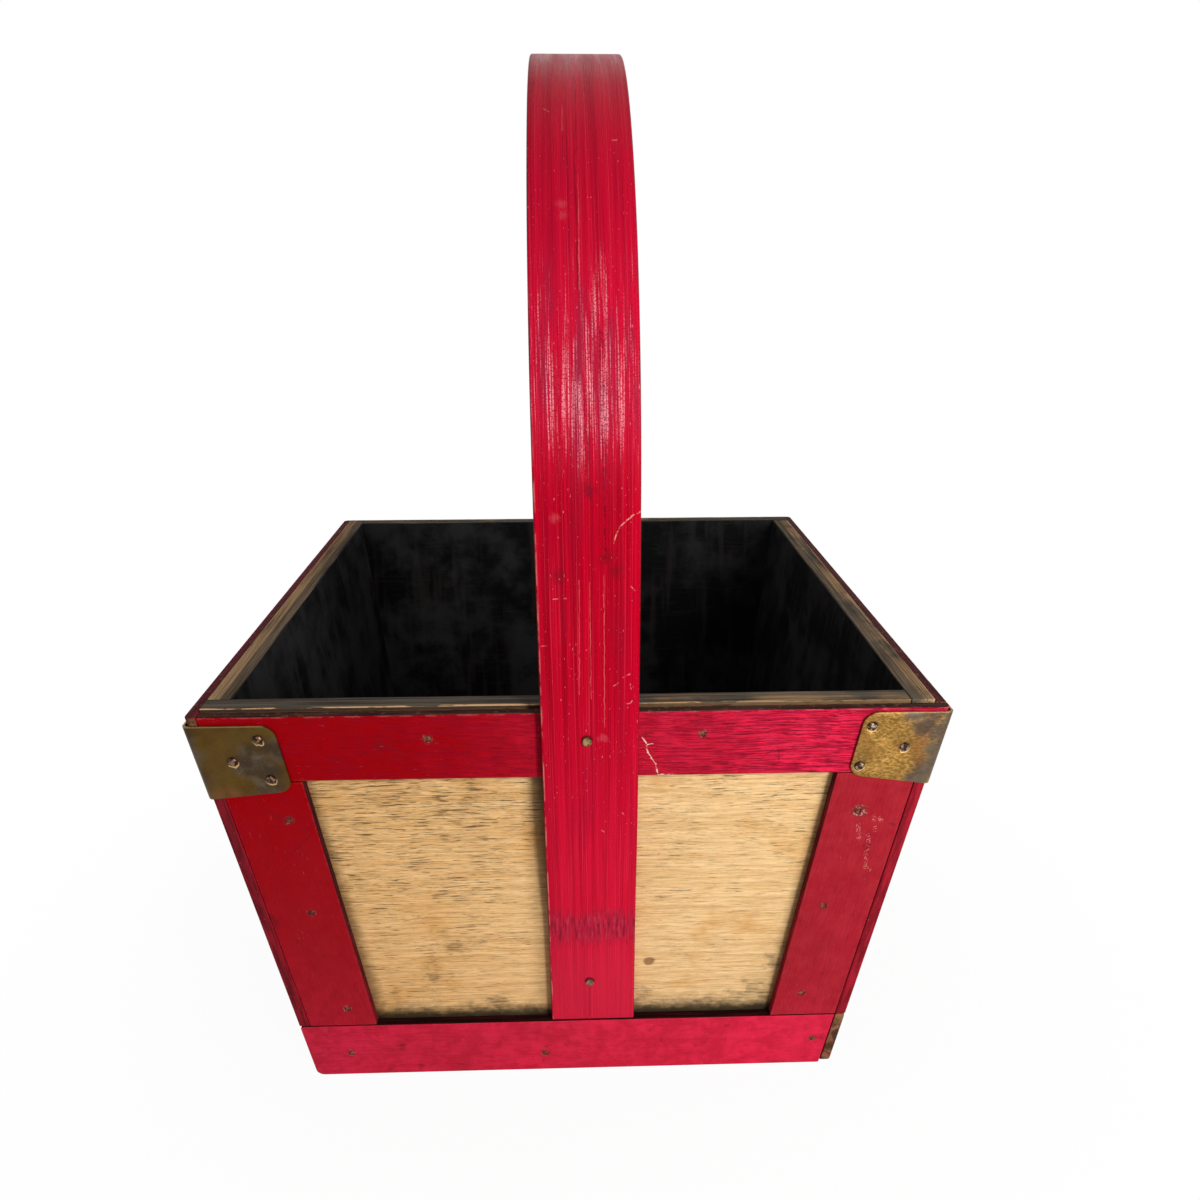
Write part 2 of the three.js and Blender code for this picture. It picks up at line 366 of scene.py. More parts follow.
def bare_face():
    """Tan veneer with the grain lying level, dark open pores, and grime by what is nailed on."""
    finish, shader = new_finish("bare_plywood")
    grain = grain_of(finish, 0.0012)
    across, up = part_of(finish, "place", "X"), part_of(finish, "place", "Z")
    spot = where(finish)
    figure = streaks(finish, grain, 0.032, 0.0011, 5.0, 0.72)
    fibres = streaks(finish, grain, 0.007, 0.0003, 3.0, 0.65)
    cloud = blots(finish, grain, 0.022, 4.0, 0.6)
    # Paler to the right: painted light, where the lamp falls stronger
    painted_light_right = between(finish, across, -0.07, 0.05)
    pale = coat(finish, painted_light_right, shade("f1c58b"), shade("f1cd98"))
    deep = coat(finish, painted_light_right, shade("d2a265"), shade("d6ae76"))
    veneer = coat(finish, between(finish, figure, 0.32, 0.68), pale, deep)
    veneer = tint(finish, veneer, "d29a55", cloud, 0.5, 0.72, 0.0, 0.55)
    veneer = tint(finish, veneer, "8a683f", fibres, 0.46, 0.7, 0.0, 0.56)
    # Open pores, closer together towards the top and on the left, where they also darken that
    # side as painted shade
    patch = blots(finish, grain, 0.014, 3.0)
    crowd = sums(finish, "MULTIPLY_ADD", patch, 0.2, between(finish, up, 0.04, 0.14, -0.02, 0.05))
    crowd = sums(finish, "ADD", crowd, between(finish, across, -0.06, 0.04, 0.03, -0.02))
    pores = sums(finish, "ADD", streaks(finish, grain, 0.009, 0.0006, 3.0, 0.62), crowd)
    pores = between(finish, pores, 0.72, 0.81, 0.0, 0.8)
    short = sums(finish, "ADD", streaks(finish, grain, 0.004, 0.00035, 2.0), crowd)
    short = between(finish, short, 0.7, 0.82, 0.0, 0.45)
    veneer = coat(finish, short, veneer, shade("6b5334"))
    veneer = coat(finish, pores, veneer, shade("4e3e28"))
    # Grime and painted shade gather against the rails and the stiles, and beside the handle
    rough = ragged(finish, grain, 0.005, 0.0022)
    to_head = sums(finish, "SUBTRACT", top_rail_foot, up)
    beside = sums(finish, "MULTIPLY_ADD", up, flare, outer(0) - stile_reach)
    to_stile = sums(finish, "SUBTRACT", beside, sums(finish, "ABSOLUTE", across))
    nearest = sums(finish, "ADD", sums(finish, "MINIMUM", to_head, to_stile), rough)
    veneer = tint(finish, veneer, "583c1e", nearest, -0.001, 0.0045, 0.7, 0.0)
    # The handle's painted shadow and grime lie on the side away from the light, most of it high up
    handle_edge, handled = part_of(finish, "tone", "Y"), part_of(finish, "tone", "Z")
    to_handle = sums(finish, "ADD", sums(finish, "SUBTRACT", handle_edge, across), rough)
    handle_shadow_and_grime = times(finish, between(finish, to_handle, -0.001, 0.008, 0.9, 0.0),
                  between(finish, to_handle, -0.003, -0.001))
    mostly_high = between(finish, up, 0.05, 0.14, 0.45, 1.0)
    handle_shadow_and_grime = times(finish, handle_shadow_and_grime, times(finish, handled, mostly_high))
    veneer = coat(finish, handle_shadow_and_grime, veneer, shade("453320"))
    # The foot is dark with dirt that rain carried up, and right above the foot rail it is black
    # with dirt and painted shade in the corner
    from_foot = sums(finish, "SUBTRACT", up, low_rail_top)
    damp = sums(finish, "MULTIPLY_ADD", ragged(finish, grain, 0.008, 0.011), 1.0, from_foot)
    veneer = tint(finish, veneer, "544833", damp, 0.0, 0.01, 0.6, 0.0)
    foot_dirt_and_shade = sums(finish, "MULTIPLY_ADD", rough, 1.6, from_foot)
    veneer = tint(finish, veneer, "241c15", foot_dirt_and_shade, 0.0005, 0.006, 0.9, 0.0)
    # Black stain that crept through in a few places, and an old plugged hole
    stains = near_spots(finish, spot, [on_face(x, z, panel_face) for x, z in crept_stains],
                        ragged(finish, grain, 0.005, 0.012))
    smear = between(finish, fibres, 0.38, 0.64, 0.12, 0.75)
    stains = times(finish, between(finish, stains, 0.0, 0.007, 1.0, 0.0), smear)
    veneer = coat(finish, stains, veneer, shade("564b36"))
    plug = near_spots(finish, spot, [on_face(*plug_at, panel_face)],
                      ragged(finish, grain, 0.002, 0.001))
    veneer = tint(finish, veneer, "6b4526", plug, 0.0014, 0.0025, 0.75, 0.0)
    veneer = tint(finish, veneer, "a2754a", plug, 0.0006, 0.0016, 0.6, 0.0)
    # The sliver above the rim rail is dark where the edge above it is old: grime, and painted
    # shade in the corner above the rail
    grime_and_shade = times(finish, between(finish, up, high_rail_top - 0.0003, high_rail_top),
                  between(finish, part_of(finish, "tone", "X"), 0.4, 0.8, 0.4, 0.95))
    veneer = coat(finish, grime_and_shade, veneer, shade("46332a"))
    height = sums(finish, "SUBTRACT", fibres, pores)
    polish = between(finish, figure, 0.3, 0.7, 0.55, 0.75)
    dress(finish, shader, veneer, polish, 0.05, height, 0.00012)
    return finish


def black_stain():
    finish, shader = new_finish("black_stained_plywood")
    grain = grain_of(finish, 0.003)
    upright = lay(finish, "Mapping", grain, Scale=(220, 22, 22))
    drips = lay(finish, "TexNoise", Vector=upright, Scale=1.0, Detail=3.0)
    fibres = streaks(finish, grain, 0.02, 0.0012)
    cloud = blots(finish, grain, 0.028, 5.0, 0.62)
    stain = coat(finish, between(finish, cloud, 0.42, 0.66), shade("0a0a0b"), shade("29292b"))
    stain = tint(finish, stain, "2f2a26", drips, 0.5, 0.68, 0.0, 0.45)
    stain = tint(finish, stain, "2e2925", fibres, 0.55, 0.75, 0.0, 0.35)
    dress(finish, shader, stain, between(finish, cloud, 0.3, 0.7, 0.5, 0.75), 0.03, fibres, 0.00008)
    return finish


def raw_edge():
    """The sheet's edge: tan plies towards the outside, the rest grey with age, an arris that is
    rubbed bright in places, and black where the stain ran over."""
    finish, shader = new_finish("raw_plywood_edge")
    grain = grain_of(finish)
    age = part_of(finish, "tone", "X")
    wander = streaks(finish, grain, 0.04, 0.004, 3.0)
    depth = sums(finish, "SUBTRACT", part_of(finish, "place", "Y"), panel_face)
    depth = sums(finish, "ADD", depth, sums(finish, "MULTIPLY_ADD", wander, 0.003, -0.0015))
    strands = streaks(finish, grain, 0.04, 0.00045, 4.0, 0.65)
    broad = streaks(finish, grain, 0.05, 0.0013, 4.0, 0.65)
    plies = sums(finish, "PINGPONG", depth, ply / 9)
    grey = coat(finish, between(finish, broad, 0.35, 0.65), shade("70675b"), shade("443d36"))
    tan = coat(finish, between(finish, broad, 0.38, 0.66), shade("c09c74"), shade("80664a"))
    tan = tint(finish, tan, "55432f", plies, 0.0005, 0.0008, 0.0, 0.3)
    blotch = sums(finish, "ADD", blots(finish, grain, 0.02, 4.0), age)
    fresh = between(finish, blotch, 0.85, 1.1, 1.0, 0.0)
    outside = between(finish, depth, 0.0034, 0.0046, 1.0, 0.3)
    edge = coat(finish, times(finish, fresh, outside), grey, tan)
    edge = tint(finish, edge, "3a3028", strands, 0.5, 0.62, 0.0, 0.6)
    line = times(finish, between(finish, depth, 0.0006, 0.001, 1.0, 0.0),
                 between(finish, age, 0.4, 0.7, 0.35, 1.0))
    broken = between(finish, streaks(finish, grain, 0.014, 0.003, 4.0, 0.65), 0.42, 0.5)
    edge = coat(finish, times(finish, line, broken), edge, shade("f4c490"))
    edge = tint(finish, edge, "1d1c1a", depth, 0.0064, 0.0078)
    height = sums(finish, "MULTIPLY_ADD", plies, 300.0, strands)
    polish = between(finish, strands, 0.3, 0.7, 0.65, 0.85)
    dress(finish, shader, edge, polish, 0.04, height, 0.00015)
    return finish


# A face counts as looking some way when its normal goes this much that way
mostly = 0.7

ply_finishes = (bare_face(), black_stain(), raw_edge())
panel_ends = [wall(3, panel_face), wall(1, panel_back + panel_gap)]
panel = sawn_board("plywood", panel_face, panel_back, 0, rim, panel_ends, panel_arris)
for finish in ply_finishes:
    panel.data.materials.append(finish)
give_faces(
    panel,
    lambda face: face.normal.dot(slope_in) < -mostly,
    lambda face: face.normal.dot(slope_in) > mostly,
    lambda face: True,
)
lay_grain(panel, level, slope_up)

# How aged the upper edge is at each side's left and right end, and where a handle's left edge lies
# on the sheet
edge_ages = {
    "front": (0.95, 0.36), "right": (0.36, 0.5), "back": (0.62, 0.6), "left": (0.05, 0.25),
}
handle_edges = {"front": -0.0096, "back": -0.021}
for side, word in enumerate(sides):
    piece = turned_copy(panel, f"{word}_plywood", side)
    by_handle = (handle_edges.get(word, 0), float(word in handle_edges))
    start, end = ((age, *by_handle) for age in edge_ages[word])
    give_tone(piece, start, end, 0, -outer(rim), outer(rim))
    fit(piece, "plywood", f"{word}_panel")
bpy.data.objects.remove(panel)


# Base: a board of the same plywood, let in between the side panels and level with their lower
# edges. Its upper face is stained black like the insides of the panels.

base_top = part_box("base_board")[1].z
base_age = (0.4, 0, 0)
bpy.ops.mesh.primitive_cube_add(
    size=1, location=(0, 0, base_top / 2), scale=(2 * outer(rim), 2 * outer(rim), base_top)
)
base = begin("base_plywood")
for side in range(4):
    saw(*wall(side, panel_back))
bpy.ops.mesh.select_all(action="SELECT")
bpy.ops.mesh.bevel(offset=panel_arris, segments=2)
bpy.ops.object.mode_set(mode="OBJECT")
for finish in ply_finishes:
    base.data.materials.append(finish)
give_faces(
    base,
    lambda face: face.normal.z < -mostly,
    lambda face: face.normal.z > mostly,
    lambda face: True,
)
lay_grain(base, level, Vector((0, 1, 0)))
give_tone(base, base_age, base_age, 0, -1, 1)
fit(base, "plywood", "base_board")


# Battens: thin strips of sawn wood, painted red and held by small brads. On each side a rail runs
# along the foot and one along the rim, with two stiles between them. The rails overlap at the
# corners by turns, so some show a brown sawn end. The paint is thin and its arrises are rubbed.

batten_arris = 0.00045
stile_foot_width, stile_head_width = 0.0245, 0.0262
pit_radius, pit_foot, pit_depth = 0.0018, 0.0007, 0.0014

# Where the brads are, sideways from the middle of the side and up from the ground
top_brads = [(-0.0451, 0.1521), (0.0414, 0.1525)]
foot_brads = [(-0.0839, 0.0116), (-0.0114, 0.0092), (0.0902, 0.0135)]
left_brads = [(-0.0922, 0.1212), (-0.0901, 0.0814), (-0.083, 0.0348)]
right_brads = [(0.0945, 0.1209), (0.0875, 0.0797), (0.0838, 0.0375)]

# Scratches through the paint of the front, as points sideways and up
pale_scratches = [
    [(0.0221, 0.1515), (0.0239, 0.1487), (0.0236, 0.1471), (0.0246, 0.1448), (0.026, 0.1428),
     (0.0267, 0.1412), (0.0275, 0.1379)],
    [(0.0239, 0.1487), (0.0258, 0.1489)],
    [(0.0275, 0.1371), (0.0334, 0.137)],
]
faint_scratches = [
    [(0.1003, 0.1187), (0.1006, 0.1172)], [(0.1024, 0.118), (0.1031, 0.1168)],
    [(0.1013, 0.1142), (0.1018, 0.1125)], [(0.0956, 0.115), (0.0963, 0.1094)],
    [(0.0994, 0.1107), (0.1002, 0.104)],
    [(0.0996, 0.1036), (0.0999, 0.1), (0.1002, 0.0967), (0.1017, 0.0956)],
]
dark_scratches = [
    [(0.0609, 0.1432), (0.0655, 0.1471), (0.066, 0.1463), (0.0665, 0.1411)],
    [(-0.0926, 0.1083), (-0.0895, 0.111), (-0.086, 0.1154)],
]


def near_line(finish, source, points, shaken):
    """How far each place is from a line through those points, shaken by a vector."""
    source = lay(finish, "VectorMath", source, shaken, operation="ADD")
    nearest = None
    for start, end in zip(points, points[1:]):
        run = Vector(end) - Vector(start)
        reach = lay(finish, "VectorMath", source, tuple(start), operation="SUBTRACT")
        share = lay(finish, "VectorMath", reach, tuple(run / run.length_squared),
                    operation="DOT_PRODUCT", out="Value")
        share = lay(finish, "Clamp", share)
        step = lay(finish, "VectorMath", tuple(run), Scale=share, operation="SCALE")
        away = lay(finish, "VectorMath", reach, step, operation="DISTANCE", out="Value")
        nearest = away if nearest is None else sums(finish, "MINIMUM", nearest, away)
    return nearest


def shake(finish, source, size, reach):
    """A small wandering vector, for lines that a hand didn't rule."""
    wander = wandering(finish, source, size)
    return lay(finish, "VectorMath", wander, Scale=reach, operation="SCALE")


def rubbed_arris(finish, reach):
    """A mask that is full on an arris and gone within that reach of it."""
    rounded = lay(finish, "Bevel", reach, samples=4)
    true = lay(finish, "NewGeometry", out="Normal")
    alike = lay(finish, "VectorMath", rounded, true, operation="DOT_PRODUCT", out="Value")
    return between(finish, alike, 0.86, 0.985, 1.0, 0.0)


def red_paint():
    finish, shader = new_finish("red_paint_on_battens")
    grain = grain_of(finish, 0.003)
    spot = where(finish)
    place = kept(finish, "place")
    deep, dull = part_of(finish, "tone", "X"), part_of(finish, "tone", "Y")
    open_grain = part_of(finish, "tone", "Z")
    cloud = blots(finish, grain, 0.03, 4.0)
    cloudy = sums(finish, "MULTIPLY_ADD", cloud, 0.7, -0.35)
    paint = coat(finish, sums(finish, "ADD", deep, cloudy), shade("e1264a"), shade("960006"))
    paint = coat(finish, sums(finish, "ADD", dull, cloudy), paint, shade("a0242e"))
    soft = blots(finish, grain, 0.006, 4.0, 0.6)
    paint = tint(finish, paint, "8e0618", soft, 0.35, 0.65, 0.36, 0.0)
    # The wood's grain shows where the paint lies thin
    lines = streaks(finish, grain, 0.012, 0.00055, 3.0, 0.55)
    lines = times(finish, between(finish, lines, 0.48, 0.56), open_grain)
    paint = coat(finish, times(finish, lines, 0.75), paint, shade("740422"))
    pores = streaks(finish, grain, 0.006, 0.0003, 2.0)
    pores = times(finish, between(finish, pores, 0.58, 0.68), open_grain)
    paint = coat(finish, pores, paint, shade("4c0618"))
    # Dirt, and paler scuffs
    dirt = blots(finish, grain, 0.007, 5.0, 0.62)
    paint = tint(finish, paint, "561418", dirt, 0.58, 0.76, 0.0, 0.6)
    scuffs = streaks(finish, grain, 0.004, 0.0004, 2.0, 0.7)
    scuffs = times(finish, between(finish, scuffs, 0.67, 0.76, 0.0, 0.45),
                   between(finish, dirt, 0.42, 0.58))
    paint = coat(finish, scuffs, paint, shade("d9606c"))
    # Paint is chipped and dirty round the brads
    brads = [(x, 0, z) for x, z in top_brads + foot_brads + left_brads + right_brads]
    to_brad = near_spots(finish, place, brads, ragged(finish, spot, 0.0011, 0.0018))
    paint = tint(finish, paint, "752428", to_brad, 0.0008, 0.0026, 0.6, 0.0)
    chipped = [(right_brads[0][0] + 0.0006, 0, right_brads[0][1])]
    to_chip = near_spots(finish, place, chipped, ragged(finish, spot, 0.0016, 0.0016))
    paint = tint(finish, paint, "742b2a", to_chip, 0.0016, 0.0032, 0.85, 0.0)
    flecks = between(finish, blots(finish, spot, 0.0009, 3.0), 0.54, 0.62)
    paint = tint(finish, paint, "2f1513", to_brad, 0.0002, 0.0013, 0.9, 0.0)
    scatter = sums(finish, "MAXIMUM", between(finish, to_chip, 0.0022, 0.0034, 0.6, 0.0),
                   between(finish, to_brad, 0.001, 0.002, 0.35, 0.0))
    paint = coat(finish, times(finish, flecks, scatter), paint, shade("c8948a"))
    # Arrises are rubbed to the wood
    worn = times(finish, rubbed_arris(finish, 0.001), between(finish, to_brad, 0.002, 0.003))
    broken = between(finish, blots(finish, grain, 0.004, 4.0), 0.44, 0.62)
    up = part_of(finish, "place", "Z")
    high = between(finish, up, high_rail_top - 0.0015, high_rail_top - 0.0005)
    rubbed = coat(finish, high, shade("94443f"), shade("cf8078"))
    paint = coat(finish, times(finish, worn, times(finish, broken, 0.7)), paint, rubbed)
    # The foot's corners are knocked bare
    half = outer(0)
    knocks = [(-half, 0, 0), (half, 0, 0), (half, 0, 0.004)]
    bare = near_spots(finish, place, knocks, ragged(finish, spot, 0.002, 0.003))
    paint = tint(finish, paint, "6c4a35", bare, 0.0008, 0.0028, 0.9, 0.0)
    # The front's own scratches
    shaken = shake(finish, spot, 0.0011, 0.0009)
    thin = between(finish, blots(finish, spot, 0.0009, 2.0), 0.36, 0.52, 0.1, 1.0)
    grains = between(finish, blots(finish, spot, 0.00055, 2.0), 0.54, 0.62)
    for marks, width, share, colour, broken in (
        (pale_scratches, 0.00013, 0.95, "f0c6b0", thin),
        (faint_scratches, 0.0005, 0.65, "cf7a72", grains),
        (dark_scratches, 0.00015, 0.5, "52101c", thin),
    ):
        for line in marks:
            away = near_line(finish, spot, [on_face(x, z) for x, z in line], shaken)
            cut = times(finish, between(finish, away, width, 2 * width, share, 0.0), broken)
            paint = coat(finish, cut, paint, shade(colour))
    height = sums(finish, "SUBTRACT", soft, sums(finish, "ADD", lines, pores))
    polish = sums(finish, "MULTIPLY_ADD", lines, 0.2, 0.4)
    dress(finish, shader, paint, polish, 0.025, height, 0.0001)
    return finish


def grime_and_shade_paint():
    """The rails' upper edges: old paint dark with handling, and black low down with dirt and
    painted shade.
    """
    finish, shader = new_finish("grimy_paint_on_edges")
    grain = grain_of(finish)
    smears = streaks(finish, grain, 0.03, 0.0015, 4.0, 0.6)
    red = part_of(finish, "tone", "Y")
    dark = coat(finish, red, shade("2e1718"), shade("54181f"))
    light = coat(finish, red, shade("5c3c34"), shade("80303a"))
    paint = coat(finish, between(finish, smears, 0.35, 0.65), dark, light)
    specks = blots(finish, grain, 0.0018, 2.0)
    paint = tint(finish, paint, "86604e", specks, 0.58, 0.7, 0.0, 0.5)
    # Low down, on the foot rail's ledge, the edge is black: dirt and painted shade
    low = between(finish, part_of(finish, "place", "Z"), 0.05, 0.1, 1.0, 0.0)
    dirt = coat(finish, between(finish, smears, 0.4, 0.7), shade("1c0d0c"), shade("3d1416"))
    paint = coat(finish, low, paint, dirt)
    dress(finish, shader, paint, between(finish, smears, 0.3, 0.7, 0.5, 0.7), 0.02, specks, 0.0001)
    return finish


def edge_paint():
    """The stiles' narrow sides: paint that ran thin over the saw marks, more or less dirty."""
    finish, shader = new_finish("red_paint_on_edges")
    grain = grain_of(finish, 0.002)
    dirty = sums(finish, "MULTIPLY_ADD", blots(finish, grain, 0.012, 4.0), 0.6, -0.3)
    dirty = sums(finish, "ADD", dirty, part_of(finish, "tone", "X"))
    smears = streaks(finish, grain, 0.012, 0.0012, 4.0, 0.6)
    red = coat(finish, between(finish, smears, 0.35, 0.65), shade("b41c30"), shade("8a1624"))
    brown = coat(finish, between(finish, smears, 0.4, 0.65), shade("4a1a1e"), shade("2c1213"))
    paint = coat(finish, dirty, red, brown)
    specks = blots(finish, grain, 0.0016, 3.0)
    paint = tint(finish, paint, "9a6656", specks, 0.68, 0.76, 0.0, 0.5)
    polish = between(finish, smears, 0.3, 0.7, 0.45, 0.7)
    dress(finish, shader, paint, polish, 0.025, smears, 0.0001)
    return finish


def sawn_end():
    finish, shader = new_finish("sawn_batten_end")
    grain = grain_of(finish)
    pores = blots(finish, grain, 0.0007)
    blotch = blots(finish, grain, 0.0045, 4.0)
    wood = coat(finish, between(finish, blotch, 0.4, 0.6), shade("4c3223"), shade("8a6345"))
    wood = tint(finish, wood, "2e1e17", pores, 0.5, 0.7, 0.0, 0.7)
    stray = blots(finish, grain, 0.006)
    wood = tint(finish, wood, "6c1522", stray, 0.54, 0.6, 0.0, 0.7)
    dress(finish, shader, wood, between(finish, blotch, 0.3, 0.7, 0.7, 0.9), 0.05, pores, 0.00015)
    return finish


face_paint = red_paint()
rail_finishes = (grime_and_shade_paint(), sawn_end())
stile_sides = edge_paint()


def sink(board, cutters):
    """Cuts the hollows that those shapes give into a board or sheet."""
    take_up(*cutters)
    bpy.ops.object.join()
    cutter = bpy.context.active_object
    bpy.ops.object.transform_apply(location=True, rotation=True, scale=True)
    take_up(board)
    hollows = board.modifiers.new("hollows", "BOOLEAN")
    hollows.object = cutter
    hollows.solver = "EXACT"
    bpy.ops.object.modifier_apply(modifier="hollows")
    bpy.data.objects.remove(cutter)


def punch(board, spots):
    """Sinks a shallow pit into the board's face for each brad."""
    cutters = []
    for x, z in spots:
        bpy.ops.mesh.primitive_cone_add(
            vertices=11, radius1=pit_foot, radius2=pit_radius, depth=pit_depth,
            location=on_face(x, z, -0.0001), rotation=(math.pi / 2 + lean, 0, 0),
        )
        cutters.append(bpy.context.active_object)
    sink(board, cutters)


def finish_batten(board, along, across, spots, rail=False):
    """Rails have a dirty upper edge, with painted shade on the foot rail's, and sawn ends; stiles
    have painted sides.
    """
    punch(board, spots)
    for finish in (face_paint, *(rail_finishes if rail else (stile_sides,))):
        board.data.materials.append(finish)
    if rail:
        give_faces(
            board,
            lambda face: face.normal.z < mostly and abs(face.normal.x) < mostly,
            lambda face: face.normal.z > mostly,
            lambda face: True,
        )
    else:
        give_faces(board, lambda face: abs(face.normal.x) < mostly, lambda face: True)
    lay_grain(board, along, across)
    return board


half_way = (top_rail_foot + high_rail_top) / 2
foot_knocks = [
    (Vector((-outer(0), -outer(0, batten / 2), 0)), 0.0027),
    (Vector((-outer(low_rail_top), -outer(low_rail_top, batten / 2), low_rail_top)), 0.0015),
]
rim_knocks = [(Vector((outer(half_way), -outer(half_way), half_way)), 0.002)]
foot_rail = finish_batten(
    sawn_board("foot_rail", 0, batten, 0, low_rail_top, [wall(3, 0), wall(1, panel_face)],
               batten_arris, foot_knocks),
    level, slope_up, foot_brads, rail=True,
)
rim_rail = finish_batten(
    sawn_board("rim_rail", 0, batten, top_rail_foot, high_rail_top,
               [wall(3, panel_face), wall(1, 0)], batten_arris, rim_knocks),
    level, slope_up, top_brads, rail=True,
)


def stile(name, hand, edge, spots):
    """A batten along a corner, with its outer edge at that inset of the neighbouring wall. It is
    planed a little narrower towards its foot."""
    run = Vector((hand * flare, -flare, 1)).normalized()
    foot, head = low_rail_top + joint, top_rail_foot - joint
    inner = [
        on_face(hand * (outer(z, edge) - width), z)
        for z, width in ((foot, stile_foot_width), (head, stile_head_width))
    ]
    sideways = (inner[1] - inner[0]).cross(slope_in).normalized()
    if sideways.x * hand > 0:
        sideways = -sideways
    ends = [wall(1 if hand > 0 else 3, edge), (inner[0], sideways)]
    board = sawn_board(name, 0, batten, foot, head, ends, batten_arris)
    return finish_batten(board, run, slope_in.cross(run), spots)


slim_stiles = (stile("left_stile", -1, panel_face, left_brads),
               stile("right_stile", 1, panel_face, right_brads))
wide_stiles = (stile("left_stile", -1, 0, left_brads), stile("right_stile", 1, 0, right_brads))

# How deep and how dull the paint is and how open the grain, at each end of a board: left to right,
# or foot to head
seen_tones = {
    "front_top_rail": ((1.6, 0.0, 0.1), (-0.2, 0.0, 1.0)),
    "front_bottom_rail": ((-0.1, 0.35, 0.2), (-0.2, 0.15, 0.1)),
    "front_left_stile": ((0.7, 0.45, 0.15), (1.3, 0.0, 0.1)),
    "front_right_stile": ((0.5, 0.85, 0.2), (0.9, 1.0, 0.2)),
    # The left side's right stile is set dirtier, partly as painted shade on the narrow side that
    # shows at the front left corner
    "left_right_stile": ((0.55, 0.3, 0.2), (0.7, 0.3, 0.2)),
    "right_left_stile": ((0.3, 0.3, 0.2), (0.3, 0.3, 0.2)),
    "left_top_rail": ((0.7, 0.7, 0.3), (0.7, 0.9, 0.3)),
    "right_top_rail": ((0.6, 0.4, 0.3), (0.6, 0.2, 0.3)),
}


for side, word in enumerate(sides):
    stiles = wide_stiles if side % 2 else slim_stiles
    for pattern, node, axis, low, high in (
        (foot_rail, "bottom_rail", 0, -outer(0), outer(0)),
        (rim_rail, "top_rail", 0, -outer(rim), outer(rim)),
        (stiles[0], "left_stile", 2, low_rail_top, top_rail_foot),
        (stiles[1], "right_stile", 2, low_rail_top, top_rail_foot),
    ):
        piece = turned_copy(pattern, f"{word}_{node}_batten", side)
        rng = random.Random(piece.name)
        guessed = [
            (rng.uniform(0.2, 1), rng.uniform(0, 0.6), rng.uniform(0.1, 0.8)) for _ in range(2)
        ]
        give_tone(piece, *seen_tones.get(f"{word}_{node}", guessed), axis, low, high)
        fit(piece, "red_batten", f"{word}_{node}")
for pattern in (foot_rail, rim_rail, *slim_stiles, *wide_stiles):
    bpy.data.objects.remove(pattern)


# Brads: small iron nails that hold the battens, driven a little below the paint. Only their rusty
# heads show, at the bottom of shallow pits.

brad_radius, brad_length, brad_sunk = 0.00095, 0.0016, 0.0011
brad_rim, brad_dome = 0.0003, 0.00012
facing = 0.9
outwards = -slope_in


def rusty_iron():
    finish, shader = new_finish("rusty_brad")
    spot = where(finish)
    rust = blots(finish, spot, 0.0011)
    metal = coat(finish, between(finish, rust, 0.4, 0.62), shade("4a2a20"), shade("8a5640"))
    dress(finish, shader, metal, between(finish, rust, 0.4, 0.6, 0.5, 0.8), 0.1, rust, 0.0002)
    shader.inputs["Metallic"].default_value = 0.15
    return finish


def driven(pattern, name, x, z, side, metal):
    """A copy of a nail's head, that far sideways and up on its side of the box."""
    head = copy_of(pattern, name)
    head.data.transform(Matrix.Translation((x, -flare * z, z)))
    head.data.transform(turned(side))
    head.data.materials.append(metal)
    return head


bpy.ops.mesh.primitive_cylinder_add(
    vertices=16, radius=brad_radius, depth=brad_length,
    location=on_face(0, 0, brad_sunk), rotation=(math.pi / 2 + lean, 0, 0),
)
brad = begin("brad")
pick(brad, "faces", lambda face: face.normal.dot(outwards) > facing)
bpy.ops.mesh.inset(thickness=brad_rim)
bpy.ops.transform.translate(value=outwards * brad_dome)
bpy.ops.object.mode_set(mode="OBJECT")
brad_iron = rusty_iron()
for side, word in enumerate(sides):
    for number, (x, z) in enumerate(top_brads + foot_brads + left_brads + right_brads):
        fit(driven(brad, f"{word}_brad_{number + 1}", x, z, side, brad_iron), "nail_brass")
bpy.data.objects.remove(brad)


# Corner plates: thin brass folded round each upper corner, with rounded free corners, and held by
# three nails in each leg. The sheet lies on the battens and is dented round the nails. It has
# tarnished to olive brown, less where hands have rubbed it, and carries painted highlights on its
# upper edge and round the dents.

sheet = 0.0008
leg = 0.028
plate_height = 0.0278
free_corner = 0.0043
foot_rises = {"left": 0.0029, "right": 0.004}
fold_round = 0.0011
drops = [0.0027, 0.0011, 0.0018, 0.0026]
plate_nails = [(0.0052, 0.0221, 0.0249), (0.0133, 0.012, 0.0124), (0.0203, 0.022, 0.0252)]
dent_radius, dent_foot, dent_depth = 0.0031, 0.0012, 0.001
skin = -joint - sheet


def nail_place(nail, hand, drop):
    """Where a plate's nail sits on the front, at its left (-1) or right (1) end."""
    down, from_left, from_right = nail
    z = high_rail_top - (drop + down) * math.cos(lean)
    return hand * (outer(z, skin) - (from_left if hand < 0 else from_right)), z


# Tarnish on a plate: away from the fold, above nought in the leg that ends a side and below it in
# the leg that begins the next, and down from its upper edge
grey_tarnish = [(0.0012, 0.0005), (0.0108, 0.0), (0.0055, 0.001), (0.0078, 0.0045), (0.001, 0.004),
                (0.0035, 0.0075), (0.0005, 0.0105), (0.002, 0.0145), (0.0015, 0.0195),
                (0.0035, 0.0225), (0.0055, 0.0265), (-0.0185, 0.0115), (-0.0145, 0.0155),
                (-0.0225, 0.0165), (-0.0265, 0.009), (-0.0205, 0.022)]
brown_tarnish = [(0.0068, 0.011), (0.0082, 0.0145), (0.0065, 0.0175), (-0.004, 0.0265),
                 (-0.0095, 0.0255)]


